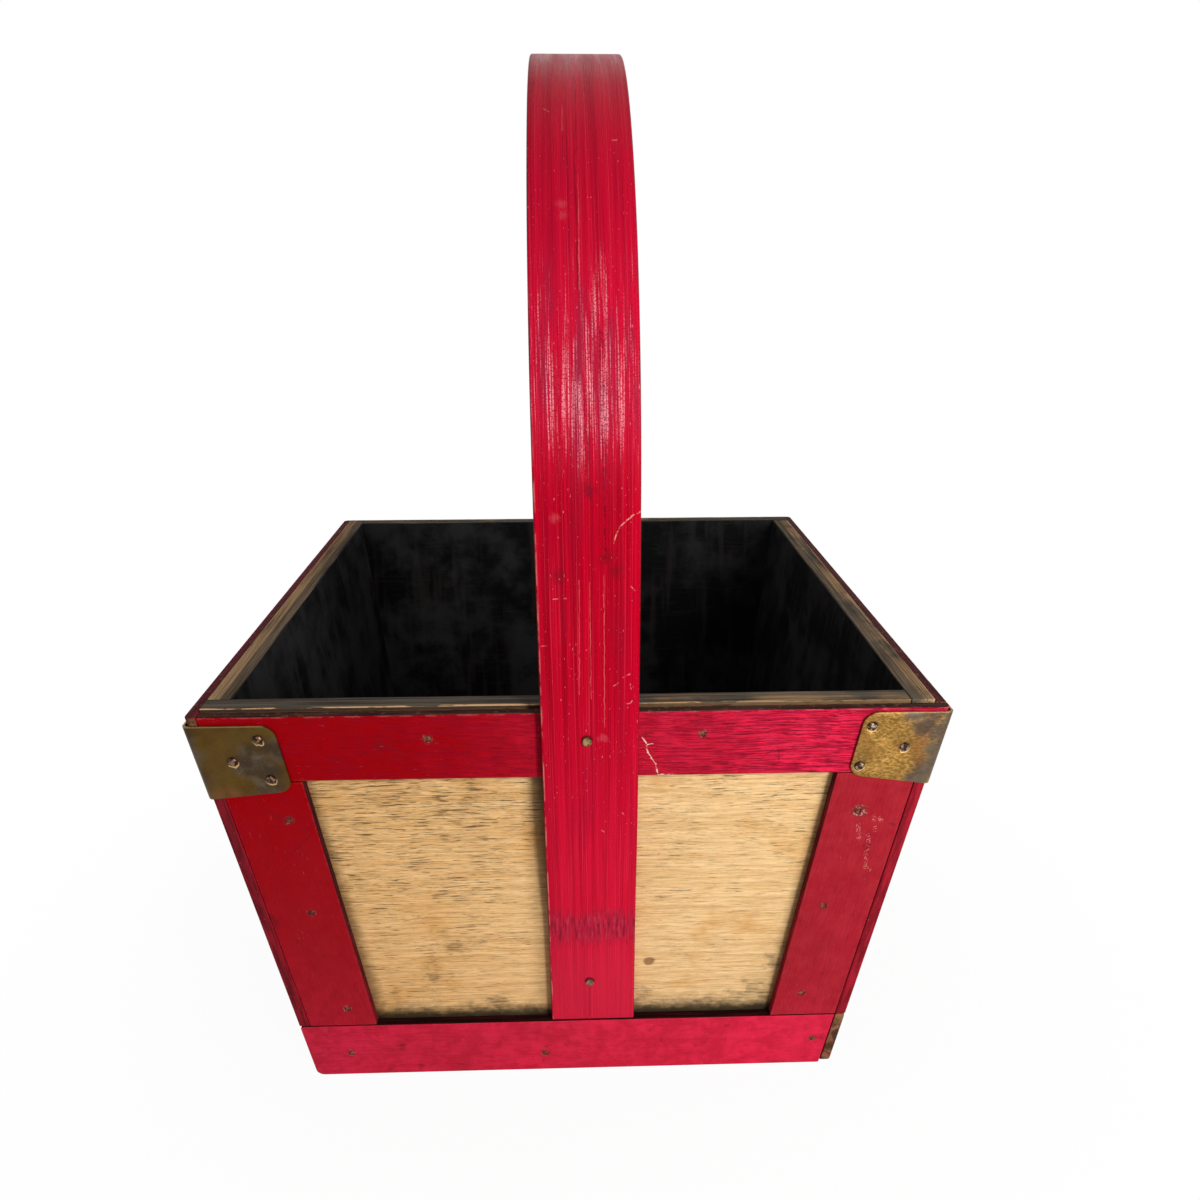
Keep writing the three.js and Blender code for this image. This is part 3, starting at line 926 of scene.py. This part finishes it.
def brass():
    finish, shader = new_finish("tarnished_brass")
    spot = where(finish)
    leg_place = kept(finish, "leg")
    olive = part_of(finish, "tone", "X")
    along, below = part_of(finish, "tone", "Y"), part_of(finish, "tone", "Z")
    moved = lay(finish, "CombineXYZ", along, below, 0.0)
    moved = lay(finish, "VectorMath", leg_place, moved, operation="ADD")
    fine = blots(finish, lay(finish, "Mapping", spot, Scale=(1, 1, 1.8)), 0.0013, 4.0, 0.6)
    wash = blots(finish, spot, 0.009, 5.0, 0.6)
    gold = coat(finish, between(finish, fine, 0.4, 0.62), shade("82602a"), shade("b28848"))
    gold = tint(finish, gold, "7d5625", wash, 0.48, 0.66, 0.0, 0.5)
    brown = coat(finish, between(finish, wash, 0.35, 0.65), shade("513812"), shade("5c4519"))
    brown = tint(finish, brown, "3f2d12", fine, 0.3, 0.7, 0.25, 0.0)
    metal = coat(finish, olive, gold, brown)
    rough = ragged(finish, spot, 0.005, 0.0036)
    to_grey = near_spots(finish, moved, [(x, y, 0) for x, y in grey_tarnish], rough)
    grey = coat(finish, between(finish, wash, 0.4, 0.6), shade("51433b"), shade("655c50"))
    dirty = coat(finish, between(finish, wash, 0.42, 0.62), shade("3c2e22"), shade("594e40"))
    grey = coat(finish, olive, grey, dirty)
    metal = coat(finish, between(finish, to_grey, 0.0018, 0.0064, 0.88, 0.0), metal, grey)
    to_brown = near_spots(finish, moved, [(x, y, 0) for x, y in brown_tarnish], rough)
    metal = tint(finish, metal, "7c4d2a", to_brown, 0.0, 0.004, 0.6, 0.0)
    # Dirt and painted shade round the nails, inside painted highlights on one side of the dents'
    # lips
    nails = [(-left, down, 0) for down, left, right in plate_nails]
    nails += [(right, down, 0) for down, left, right in plate_nails]
    uneven = ragged(finish, spot, 0.0014, 0.0009)
    glint_spots = [(x - 0.0001, y + 0.0004, 0) for x, y, z in nails]
    to_glint = near_spots(finish, leg_place, glint_spots, uneven)
    metal = tint(finish, metal, "d8b47c", to_glint, 0.0017, 0.0019, 0.75, 0.0)
    to_nail = near_spots(finish, leg_place, nails, uneven)
    metal = tint(finish, metal, "2e2119", to_nail, 0.0016, 0.0019, 0.9, 0.0)
    # A painted highlight along its upper edge, where the light catches it
    down = part_of(finish, "leg", "Y")
    metal = tint(finish, metal, "b59762", down, 0.0002, 0.0006, 0.4, 0.0)
    dull = sums(finish, "MULTIPLY_ADD", fine, 0.15, between(finish, wash, 0.4, 0.7, 0.33, 0.48))
    height = sums(finish, "MULTIPLY_ADD", fine, 0.25, wash)
    dress(finish, shader, metal, dull, 0.5, height, 0.0003)
    shader.inputs["Metallic"].default_value = 0.9
    return finish


def folded_plate():
    """Built at the front left corner, hard up under the rail's top edge."""
    top = high_rail_top
    foot = top - plate_height * math.cos(lean)
    bpy.ops.mesh.primitive_cone_add(
        vertices=4, end_fill_type="NOTHING", depth=3 * plate_height,
        radius1=math.sqrt(2) * outer(foot - plate_height, -joint),
        radius2=math.sqrt(2) * outer(foot + 2 * plate_height, -joint),
        location=(0, 0, foot + plate_height / 2), rotation=(0, 0, math.pi / 4),
    )
    plate = begin("corner_plate")
    fold = -outer(foot, skin)
    for point, normal in (
        ((fold + leg, 0, foot), (1, 0, flare)),
        ((0, fold + leg, foot), (0, 1, flare)),
        ((0, 0, top), (0, 0, 1)),
        ((0, 0, foot), (0, 0, -1)),
    ):
        bpy.ops.mesh.select_all(action="SELECT")
        bpy.ops.mesh.bisect(plane_co=point, plane_no=normal, clear_outer=True)
    free_end = fold + 0.8 * leg
    along_fold = Vector((-flare, -flare, 1))
    for rise, axis in ((foot_rises["left"], 0), (foot_rises["right"], 1)):
        pick(plate, "verts", lambda v: v.co[axis] > free_end and v.co.z < foot + 0.001)
        bpy.ops.transform.translate(value=along_fold * rise)
    pick(plate, "edges", lambda edge: len(edge.link_faces) == 2)
    bpy.ops.mesh.bevel(offset=fold_round, segments=4, affect="EDGES")
    pick(plate, "verts", lambda v: max(v.co.x, v.co.y) > free_end)
    bpy.ops.mesh.bevel(offset=free_corner, segments=6, affect="VERTICES")
    bpy.ops.object.mode_set(mode="OBJECT")
    thick = plate.modifiers.new("sheet", "SOLIDIFY")
    thick.thickness = sheet
    thick.offset = 1.0
    soft = plate.modifiers.new("edge", "BEVEL")
    soft.width = 0.00015
    soft.segments = 2
    soft.limit_method = "ANGLE"
    soft.angle_limit = math.radians(50)
    for step in ("sheet", "edge"):
        bpy.ops.object.modifier_apply(modifier=step)
    return plate


def dent(plate):
    """Shallow dents where the nails were driven, in both legs."""
    cutters = []
    for hand, side in ((-1, 0), (1, 3)):
        for nail in plate_nails:
            x, z = nail_place(nail, hand, 0)
            bpy.ops.mesh.primitive_cone_add(
                vertices=28, radius1=dent_foot, radius2=dent_radius, depth=dent_depth,
                location=on_face(x, z, skin) + outwards * 0.00015,
                rotation=(math.pi / 2 + lean, 0, 0),
            )
            cutter = bpy.context.active_object
            take_up(cutter)
            bpy.ops.object.transform_apply(location=True, rotation=True, scale=True)
            cutter.data.transform(turned(side))
            cutters.append(cutter)
    sink(plate, cutters)


def leg_places(plate):
    """Where each point of the pattern lies: away from the fold and down from the upper edge."""
    places = []
    for vertex in plate.data.vertices:
        x, y, z = vertex.co
        half = outer(z, skin)
        away = -(x + half) if x > y else y + half
        places.append((away, (high_rail_top - z) / math.cos(lean), 0))
    return places


plate = folded_plate()
dent(plate)
plate.data.materials.append(brass())
lay_grain(plate, Vector((0, 0, 1)), level)
write_vectors(plate, "leg", leg_places(plate))
take_up(plate)
bpy.ops.object.shade_smooth_by_angle(angle=math.radians(35))

# How olive each plate is, and how far its tarnish lies from where the front's lies
plate_tones = [(1.0, 0, 0), (0.0, 0, 0), (0.6, 0.006, 0.008), (0.35, -0.007, -0.006)]
for side, word in enumerate(sides):
    slide = drops[side] * math.cos(lean)
    piece = turned_copy(plate, f"{word}_{sides[side - 1]}_brass_corner", 0)
    piece.data.transform(Matrix.Translation((flare * slide, flare * slide, -slide)))
    piece.data.transform(turned(side))
    give_tone(piece, plate_tones[side], plate_tones[side], 0, -1, 1)
    fit(piece, "corner_brass", f"{word}_{sides[side - 1]}_corner_plate")
bpy.data.objects.remove(plate)


# Plate nails: small domed steel nails, three in each leg of a corner plate, driven through it into
# the battens. Their heads are dull, and rusty in the plates that have tarnished most.

nail_radius, nail_dome, nail_proud = 0.0015, 0.00045, 0.0003
shank = 0.006
brim = 0.0004
rusty_from = 0.5


def nail_metal(name, light, dark, metallic, polish):
    finish, shader = new_finish(name)
    spot = where(finish)
    spots = blots(finish, spot, 0.0012, 3.0)
    metal = coat(finish, between(finish, spots, 0.42, 0.56), shade(light), shade(dark))
    dull = between(finish, spots, 0.4, 0.6, polish, polish + 0.2)
    dress(finish, shader, metal, dull, 0.3, spots, 0.0005)
    shader.inputs["Metallic"].default_value = metallic
    return finish


def nail_head(name, inset, dome, radius):
    """The pattern of a domed head with a short shank, in the front wall at the ground's height."""
    bpy.ops.mesh.primitive_cylinder_add(
        vertices=24, radius=radius, depth=brim,
        location=on_face(0, 0, inset) + outwards * brim / 2, rotation=(math.pi / 2 + lean, 0, 0),
    )
    piece = begin(name)
    pick(piece, "faces", lambda face: face.normal.dot(outwards) > facing)
    for share, rise in ((0.12, 0.4), (0.25, 0.35), (0.3, 0.25)):
        bpy.ops.mesh.inset(thickness=share * radius)
        bpy.ops.transform.translate(value=outwards * rise * dome)
    pick(piece, "faces", lambda face: face.normal.dot(outwards) < -facing)
    bpy.ops.mesh.inset(thickness=0.6 * radius)
    bpy.ops.mesh.extrude_region_move(TRANSFORM_OT_translate={"value": -outwards * shank})
    bpy.ops.object.mode_set(mode="OBJECT")
    take_up(piece)
    bpy.ops.object.shade_smooth_by_angle(angle=math.radians(60))
    return piece


clean_nail = nail_metal("nail_steel", "a08672", "33231e", 0.8, 0.28)
rusty_nail = nail_metal("nail_rust", "7d5c48", "24140f", 0.7, 0.3)
plate_nail = nail_head("plate_nail", skin + nail_proud, nail_dome, nail_radius)
for side, word in enumerate(sides):
    for corner, hand, owner in (("left", -1, side), ("right", 1, (side + 1) % 4)):
        metal = rusty_nail if plate_tones[owner][0] > rusty_from else clean_nail
        name = f"{word}_{corner}_plate_nail"
        for number, nail in enumerate(plate_nails):
            at = nail_place(nail, hand, drops[owner])
            head = driven(plate_nail, f"{name}_head_{number + 1}", *at, side, metal)
            fit(head, "nail_brass", f"{name}_{number + 1}")
bpy.data.objects.remove(plate_nail)


# Handle: one strip split from a thick bamboo cane, shaved flat, painted red and bent while green.
# It stands on the foot rail, lies on the panel, swings out over the rim rail and goes round in a
# hoop that leans a little to the left. Its edges are rubbed, and its turn is scuffed pale and
# carries a painted highlight.

strip_low, strip_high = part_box("handle_strip")
strip_width = 0.0305
strip = 0.003
strip_round = 0.0007
foot_middle = strip_high.x - strip_width / 2
crown_middle = strip_low.x + strip_width / 2
hoop_rise = 0.0714
lower_pin = 0.045
upper_pin = rim - 0.01
pin_aside = 0.001
flat_above_pin = 0.012
flat_below_rail = 0.003

strip_foot = low_rail_top + joint + strip * math.sin(lean)
swing_start = lower_pin + flat_above_pin
swing_end = top_rail_foot - flat_below_rail
swing_length = (swing_end - swing_start) / math.cos(lean)
swing_turn = 2 * math.atan2(batten + joint, swing_length)
swing_radius = swing_length / (2 * math.sin(swing_turn))
crown = rim + hoop_rise
crown_radius = outer(rim, -joint) + hoop_rise * math.tan(lean / 2)


def strip_middle(z):
    share = (z - strip_foot) / (strip_high.z - strip_foot)
    return foot_middle + (crown_middle - foot_middle) * share


def run_at(place):
    """How far along the strip a point lies, from the foot of its front end."""
    to_crown = (crown - strip_foot) / math.cos(lean)
    whole = 2 * to_crown + crown_radius * math.pi
    if place.z > crown:
        run = to_crown + crown_radius * math.atan2(place.z - crown, abs(place.y))
    else:
        run = (place.z - strip_foot) / math.cos(lean)
    return run if place.y < 0 else whole - run


def bent_strip():
    """Half the strip, from its foot at the front to the top of the hoop, and its mirror image."""
    at = Vector((0, -outer(strip_foot, batten), strip_foot))
    heading = lean
    out = Vector((0, -math.cos(heading), -math.sin(heading)))
    middle = at + out * strip / 2
    bpy.ops.mesh.primitive_plane_add(size=1, location=middle, rotation=(heading, 0, 0))
    bpy.context.active_object.scale = (strip_width, strip, 1)
    piece = begin("bamboo_strip")
    bpy.ops.mesh.bevel(offset=strip_round, segments=4, affect="VERTICES")
    bpy.ops.mesh.select_all(action="SELECT")

    def straight(length, pieces):
        nonlocal at
        step = Vector((0, -math.sin(heading), math.cos(heading))) * length / pieces
        for _ in range(pieces):
            bpy.ops.mesh.extrude_region_move(TRANSFORM_OT_translate={"value": step})
        at = at + step * pieces

    def bend(turn, radius, steps):
        nonlocal at, heading
        out = Vector((0, -math.cos(heading), -math.sin(heading)))
        centre = at + out * math.copysign(radius, turn)
        bpy.ops.mesh.spin(steps=steps, angle=-turn, center=centre, axis=(1, 0, 0))
        at = centre + Matrix.Rotation(turn, 3, "X") @ (at - centre)
        heading += turn

    straight((swing_start - strip_foot) / math.cos(lean), 4)
    bend(swing_turn, swing_radius, 8)
    bend(-swing_turn, swing_radius, 8)
    straight((rim - at.z) / math.cos(lean), 4)
    bend(-lean, hoop_rise / math.sin(lean), 12)
    bend(-math.pi / 2, -at.y, 40)
    bpy.ops.mesh.delete(type="FACE")
    bpy.ops.object.mode_set(mode="OBJECT")
    twin = piece.modifiers.new("back_half", "MIRROR")
    twin.use_axis = (False, True, False)
    twin.merge_threshold = 0.0002
    bpy.ops.object.modifier_apply(modifier="back_half")
    bpy.ops.object.mode_set(mode="EDIT")
    bpy.ops.mesh.select_all(action="SELECT")
    bpy.ops.mesh.remove_doubles(threshold=0.00001)
    bpy.ops.mesh.normals_make_consistent(inside=False)
    bpy.ops.object.mode_set(mode="OBJECT")
    return piece


# Marks on the strip, sideways from its middle and along it from its front foot
strip_scratch = [(0.0149, 0.2021), (0.0128, 0.2009), (0.0111, 0.1996), (0.0093, 0.1977),
                 (0.0082, 0.1958), (0.0074, 0.193)]
strip_crack = [(0.005, 0.2035), (0.0051, 0.192), (0.0052, 0.1865)]
strip_dents = [[(0.0046, 0.25), (0.0052, 0.225), (0.005, 0.2035)],
               [(-0.0001, 0.236), (0.0006, 0.206)]]
strip_groove = [(-0.0009, 0.335), (-0.0014, 0.287), (-0.0015, 0.262)]
strip_lines = [[(-0.0026, 0.1815), (-0.0031, 0.1437)], [(0.0004, 0.181), (0.0005, 0.142)],
               [(0.0046, 0.1837), (0.0045, 0.1317)], [(-0.0048, 0.326), (-0.005, 0.314)],
               [(-0.0008, 0.297), (-0.0011, 0.262)]]
strip_nicks = [[(0.0074, 0.1467), (0.0086, 0.1476)], [(0.0102, 0.1496), (0.0122, 0.1507)],
               [(0.0124, 0.1472), (0.0127, 0.1455)],
               [(0.0112, 0.1402), (0.0124, 0.1404), (0.013, 0.1412)],
               [(-0.0103, 0.1757), (-0.0065, 0.1758)], [(-0.0142, 0.1606), (-0.0122, 0.1606)],
               [(0.0035, 0.0912), (0.0044, 0.0903)], [(0.0104, 0.0982), (0.0109, 0.0972)],
               [(0.0124, 0.1795), (0.0134, 0.1782)], [(-0.0103, 0.3245), (-0.0087, 0.3228)],
               [(0.0092, 0.31), (0.0107, 0.3101)]]
# Spots of the painted highlight on the turn
strip_shine = [(-0.0025, 0.231), (-0.0052, 0.237), (0.005, 0.243), (0.0052, 0.228),
               (-0.0095, 0.233), (0.0028, 0.259), (0.0055, 0.262), (-0.0015, 0.222),
               (0.0095, 0.233), (0.001, 0.237)]
strip_smears = [(-0.0058, 0.287), (-0.005, 0.2835), (-0.0087, 0.2006), (0.004, 0.1276)]
strip_stains = [(0.0004, 0.2085), (0.0052, 0.1885), (0.0082, 0.1845), (-0.0085, 0.183)]
strip_split = [(-0.001, 0.017), (-0.0012, 0.001)]
pin_runs = (0.0191, 0.1271)
node_run = 0.0455


def red_bamboo():
    finish, shader = new_finish("red_paint_on_bamboo")
    across, run, outside = (part_of(finish, "strand", axis) for axis in "XYZ")
    lengthwise = lay(finish, "CombineXYZ", run, across, 0.0)
    flat = lay(finish, "CombineXYZ", across, run, 0.0)
    ridges = streaks(finish, lengthwise, 0.25, 0.0024, 4.0, 0.72)
    fine = streaks(finish, lengthwise, 0.08, 0.0004, 3.0, 0.6)
    broad = streaks(finish, lengthwise, 0.07, 0.006, 4.0)
    # Deepest between the rim and the turn, and pinker towards the foot
    deep = times(finish, between(finish, run, 0.07, 0.16),
                 between(finish, run, 0.215, 0.26, 1.0, 0.1))
    bright = coat(finish, deep, shade("cd0e31"), shade("bc0022"))
    dark = coat(finish, deep, shade("b80829"), shade("9a0018"))
    paint = coat(finish, between(finish, ridges, 0.36, 0.62), dark, bright)
    paint = tint(finish, paint, "8c0a28", broad, 0.48, 0.7, 0.0, 0.36)
    paint = tint(finish, paint, "7a0220", fine, 0.34, 0.44, 0.4, 0.0)
    light = streaks(finish, lengthwise, 0.1, 0.00038, 3.0, 0.55)
    paint = tint(finish, paint, "e03c54", light, 0.55, 0.68, 0.0, 0.38)
    paint = tint(finish, paint, "cc2844", run, 0.015, 0.06, 0.45, 0.0)
    # Greyed with pale streaks from high on the hoop's front, over its top and its back half
    greyed_high = streaks(finish, lengthwise, 0.02, 0.0005, 3.0)
    greyed_high = times(finish, between(finish, greyed_high, 0.44, 0.6, 0.2, 1.1),
                  between(finish, run, 0.338, 0.357, 0.0, 0.32))
    paint = coat(finish, greyed_high, paint, shade("b87472"))
    inner_paint = paint
    # Where it turns: crackled, scuffed pale along the ridges, and a painted highlight among the
    # scuffs
    crackle = blots(finish, flat, 0.0005, 2.0)
    scuffed_and_sheen_zone = times(finish, between(finish, run, 0.204, 0.232),
                    between(finish, run, 0.244, 0.284, 1.0, 0.0))
    # Brighter red over the turn, as painted sheen
    paint = coat(finish, times(finish, scuffed_and_sheen_zone, 0.4), paint, shade("d8163e"))
    worn_grey = times(finish, scuffed_and_sheen_zone, between(finish, broad, 0.5, 0.64, 0.0, 0.6))
    paint = coat(finish, worn_grey, paint, shade("862540"))
    cracked = times(finish, scuffed_and_sheen_zone, between(finish, crackle, 0.34, 0.46, 0.6, 0.0))
    paint = coat(finish, cracked, paint, shade("8c0c28"))
    squeezed = lay(finish, "Mapping", flat, Scale=(1, 0.1, 1))
    shine = near_spots(finish, squeezed, [(x, y / 10, 0) for x, y in strip_shine],
                       ragged(finish, lengthwise, 0.004, 0.001))
    strands = streaks(finish, lengthwise, 0.024, 0.00036, 3.0, 0.55)
    strands = sums(finish, "MULTIPLY_ADD", scuffed_and_sheen_zone, 0.08, strands)
    strands = sums(finish, "ADD", strands, between(finish, shine, 0.0, 0.0022, 0.15, 0.0))
    scuffs = times(finish, between(finish, strands, 0.63, 0.83), between(finish, scuffed_and_sheen_zone, 0.0, 0.5))
    scuffs = times(finish, scuffs, between(finish, crackle, 0.38, 0.56, 0.15, 1.0))
    paint = coat(finish, times(finish, scuffs, 0.8), paint, shade("f8a4b0"))
    # Tiny chips along it
    chips = streaks(finish, lengthwise, 0.0016, 0.0005, 2.0)
    near_rim = times(finish, between(finish, run, 0.06, 0.12),
                     between(finish, run, 0.3, 0.33, 1.0, 0.0))
    crowd = times(finish, blots(finish, lengthwise, 0.01, 2.0), near_rim)
    chips = between(finish, sums(finish, "MULTIPLY_ADD", crowd, 0.14, chips), 0.76, 0.83, 0.0, 0.75)
    paint = coat(finish, chips, paint, shade("e88e98"))
    # The cane's node, above the lower nail
    to_node = sums(finish, "ABSOLUTE", sums(finish, "SUBTRACT", run, node_run))
    uneven = sums(finish, "MULTIPLY_ADD", streaks(finish, lengthwise, 0.02, 0.0025), 0.02, -0.01)
    node = between(finish, sums(finish, "ADD", to_node, uneven), 0.002, 0.011, 1.0, 0.0)
    ticks = streaks(finish, lengthwise, 0.0065, 0.0009, 3.0)
    pale_ticks = times(finish, node, between(finish, ticks, 0.32, 0.45, 0.45, 0.0))
    ticks = times(finish, node, between(finish, ticks, 0.48, 0.7))
    paint = coat(finish, times(finish, node, 0.5), paint, shade("96203a"))
    paint = coat(finish, pale_ticks, paint, shade("b44c5c"))
    paint = coat(finish, times(finish, ticks, 0.6), paint, shade("54101e"))
    # Dark stains, pale smears, scratches, nicks and the crack
    shaken = shake(finish, flat, 0.003, 0.0006)
    rough = ragged(finish, lengthwise, 0.003, 0.003)
    for spots, reach, share, colour in (
        (strip_stains, 0.0034, 0.5, "5b0c1a"), (strip_smears, 0.0022, 0.2, "e0808a")
    ):
        away = near_spots(finish, flat, [(x, y, 0) for x, y in spots], rough)
        stroke = times(finish, between(finish, away, 0.0, reach, share, 0.0),
                       between(finish, fine, 0.35, 0.6, 0.3, 1.0))
        paint = coat(finish, stroke, paint, shade(colour))
    thin = between(finish, blots(finish, flat, 0.0013, 3.0), 0.4, 0.58, 0.0, 1.0)
    fading = between(finish, streaks(finish, lengthwise, 0.012, 0.003, 3.0), 0.36, 0.56, 0.15, 1.0)
    for marks, width, share, colour, broken in (
        (strip_dents, 0.0005, 0.4, "4c1228", thin),
        ([strip_scratch], 0.00012, 0.8, "ee9a90", thin),
        (strip_lines, 0.00008, 0.45, "e8706c", fading),
        (strip_nicks, 0.0001, 0.55, "ee9c96", thin),
        ([strip_crack], 0.00014, 0.8, "38080f", thin),
        ([strip_groove], 0.00018, 0.5, "6a0a1e", fading),
    ):
        for line in marks:
            away = near_line(finish, flat, [(x, y, 0) for x, y in line], shaken)
            cut = times(finish, between(finish, away, width, 2.2 * width, share, 0.0), broken)
            paint = coat(finish, cut, paint, shade(colour))
    # Rubbed left arris, dirty sides, and dirt round the nails
    half = strip_width / 2
    worn = between(finish, streaks(finish, lengthwise, 0.012, 0.003, 4.0, 0.6), 0.44, 0.58)
    worn = times(finish, worn, between(finish, run, 0.2, 0.24, 1.0, 0.0))
    to_left = sums(finish, "ADD", across, half)
    to_edge = sums(finish, "SUBTRACT", half, sums(finish, "ABSOLUTE", across))
    paint = tint(finish, paint, "6c0e1c", to_edge, 0.0001, 0.0004, 0.6, 0.0)
    left = times(finish, between(finish, to_left, 0.00015, 0.0003),
                 between(finish, to_left, 0.0005, 0.0008, 0.6, 0.0))
    paint = coat(finish, times(finish, left, worn), paint, shade("e8857e"))
    pins = [(-pin_aside, along, 0) for along in pin_runs]
    to_pin = near_spots(finish, flat, pins, ragged(finish, flat, 0.001, 0.0005))
    paint = tint(finish, paint, "3c0c14", to_pin, 0.0015, 0.0021, 0.8, 0.0)
    split = near_line(finish, flat, [(x, y, 0) for x, y in strip_split], shaken)
    paint = tint(finish, paint, "5c0c1c", split, 0.0001, 0.0003, 0.5, 0.0)
    paint = coat(finish, outside, inner_paint, paint)
    height = sums(finish, "MULTIPLY_ADD", ridges, 1.4, times(finish, fine, 0.8))
    height = sums(finish, "MULTIPLY_ADD", crackle, 0.3, height)
    height = sums(finish, "SUBTRACT", height, times(finish, ticks, 0.6))
    polish = between(finish, broad, 0.35, 0.65, 0.22, 0.36)
    dress(finish, shader, paint, polish, 0.025, height, 0.0003)
    return finish


def faces_out(vertex):
    """1 on the outside of the hoop and 0 on its inside."""
    away = Vector((0, vertex.co.y, max(vertex.co.z - crown, 0)))
    return float(vertex.normal.dot(away) > 0)


handle = bent_strip()
strands = [(v.co.x, run_at(v.co), faces_out(v)) for v in handle.data.vertices]
write_vectors(handle, "strand", strands)
for vertex in handle.data.vertices:
    vertex.co.x += strip_middle(vertex.co.z)
handle.data.materials.append(red_bamboo())
take_up(handle)
bpy.ops.object.shade_smooth_by_angle(angle=math.radians(50))
fit(handle, "red_bamboo", "handle_strip")


# Handle nails: at each end of the strip one domed brass nail goes through it at the rim, and one
# flat iron nail near its foot. They keep the hoop from swinging.

pin_brass = nail_metal("pin_brass", "a48c60", "6b5533", 0.8, 0.3)
pin_iron = nail_metal("pin_iron", "927060", "6a4a3e", 0.2, 0.6)
# Where each nail is, how deep its head sits, and how high and wide the head is
for place, z, inset, dome, radius, metal in (
    ("upper", upper_pin, -joint - strip, 0.0009, 0.0016, pin_brass),
    ("lower", lower_pin, batten - strip, 0.0001, 0.0014, pin_iron),
):
    pin = nail_head(f"{place}_pin", inset, dome, radius)
    x = strip_middle(z) - pin_aside
    for word, side, hand in (("front", 0, 1), ("back", 2, -1)):
        head = driven(pin, f"{word}_{place}_pin_head", hand * x, z, side, metal)
        fit(head, "nail_brass", f"{word}_{place}_handle_pin")
    bpy.data.objects.remove(pin)


# Studio: the basket stands on a pale floor. A soft lamp stands low to the right of the front, and
# the room fills in the rest. The camera stands where the photographer stood.

def pale_floor():
    finish, shader = new_finish("pale_floor")
    shader.inputs["Base Color"].default_value = (0.9, 0.9, 0.9, 1)
    shader.inputs["Roughness"].default_value = 0.9
    shader.inputs["Specular IOR Level"].default_value = 0.0
    glow = lay(finish, "Emission", (1, 1, 1, 1), 1.0)
    spot = where(finish)
    away = lay(finish, "VectorMath", spot, operation="LENGTH", out="Value")
    amount = times(finish, seen_directly(finish), between(finish, away, 0.11, 0.3, 0.955, 1.0))
    mixed = lay(finish, "MixShader", amount, shader.outputs[0], glow)
    finish.node_tree.links.new(mixed, finish.node_tree.nodes["Material Output"].inputs["Surface"])
    return finish


def seen_directly(finish):
    """1 for what the camera sees, also in metal and glass, and 0 for the light on the object."""
    seen = 0.0
    for kind in ("Is Camera Ray", "Is Glossy Ray", "Is Transmission Ray"):
        seen = sums(finish, "MAXIMUM", lay(finish, "LightPath", out=kind), seen)
    return seen


bpy.ops.mesh.primitive_plane_add(size=12, location=(0, 0, 0))
floor = bpy.context.active_object
floor.name = "floor"
floor.data.materials.append(pale_floor())
floor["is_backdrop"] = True

scene = bpy.context.scene
room = bpy.data.worlds.new("room")
room.use_nodes = True
scene.world = room
room_light = 0.32
strength = lay(room, "MapRange", seen_directly(room), 0.0, 1.0, room_light, 1.0)
sky = room.node_tree.nodes["Background"]
sky.inputs["Color"].default_value = (1, 1, 1, 1)
room.node_tree.links.new(strength, sky.inputs["Strength"])


def lamp(name, azimuth, elevation, distance, width, height, power):
    """A soft lamp aimed at the middle of the basket. Azimuth 0 is the front, 90 the right."""
    aim = Vector((0, 0, 0.13))
    a, e = math.radians(azimuth), math.radians(elevation)
    direction = Vector((math.sin(a) * math.cos(e), -math.cos(a) * math.cos(e), math.sin(e)))
    light = bpy.data.lights.new(name, "AREA")
    light.shape = "RECTANGLE"
    light.size = width
    light.size_y = height
    light.energy = power
    stand = bpy.data.objects.new(name, light)
    stand.location = aim + direction * distance
    stand.rotation_euler = direction.to_track_quat("Z", "Y").to_euler()
    bpy.context.collection.objects.link(stand)


lamp("side_lamp", azimuth=26, elevation=15, distance=0.7, width=0.12, height=0.34, power=3.2)

photo_width = 1200
focal = 995.676
eye = (-0.000404, -0.399652, 0.296052)
yaw, pitch, roll = math.radians(1.892), math.radians(19.283), math.radians(0.017)
camera_data = bpy.data.cameras.new("camera")
camera_data.sensor_width = 36
camera_data.lens = focal / photo_width * camera_data.sensor_width
camera = bpy.data.objects.new("camera", camera_data)
bpy.context.collection.objects.link(camera)
camera.matrix_world = (
    Matrix.Translation(eye)
    @ Matrix.Rotation(-yaw, 4, "Z")
    @ Matrix.Rotation(math.pi / 2 - pitch, 4, "X")
    @ Matrix.Rotation(-roll, 4, "Z")
)
scene.camera = camera
scene.view_settings.view_transform = "Standard"

low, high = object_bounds()
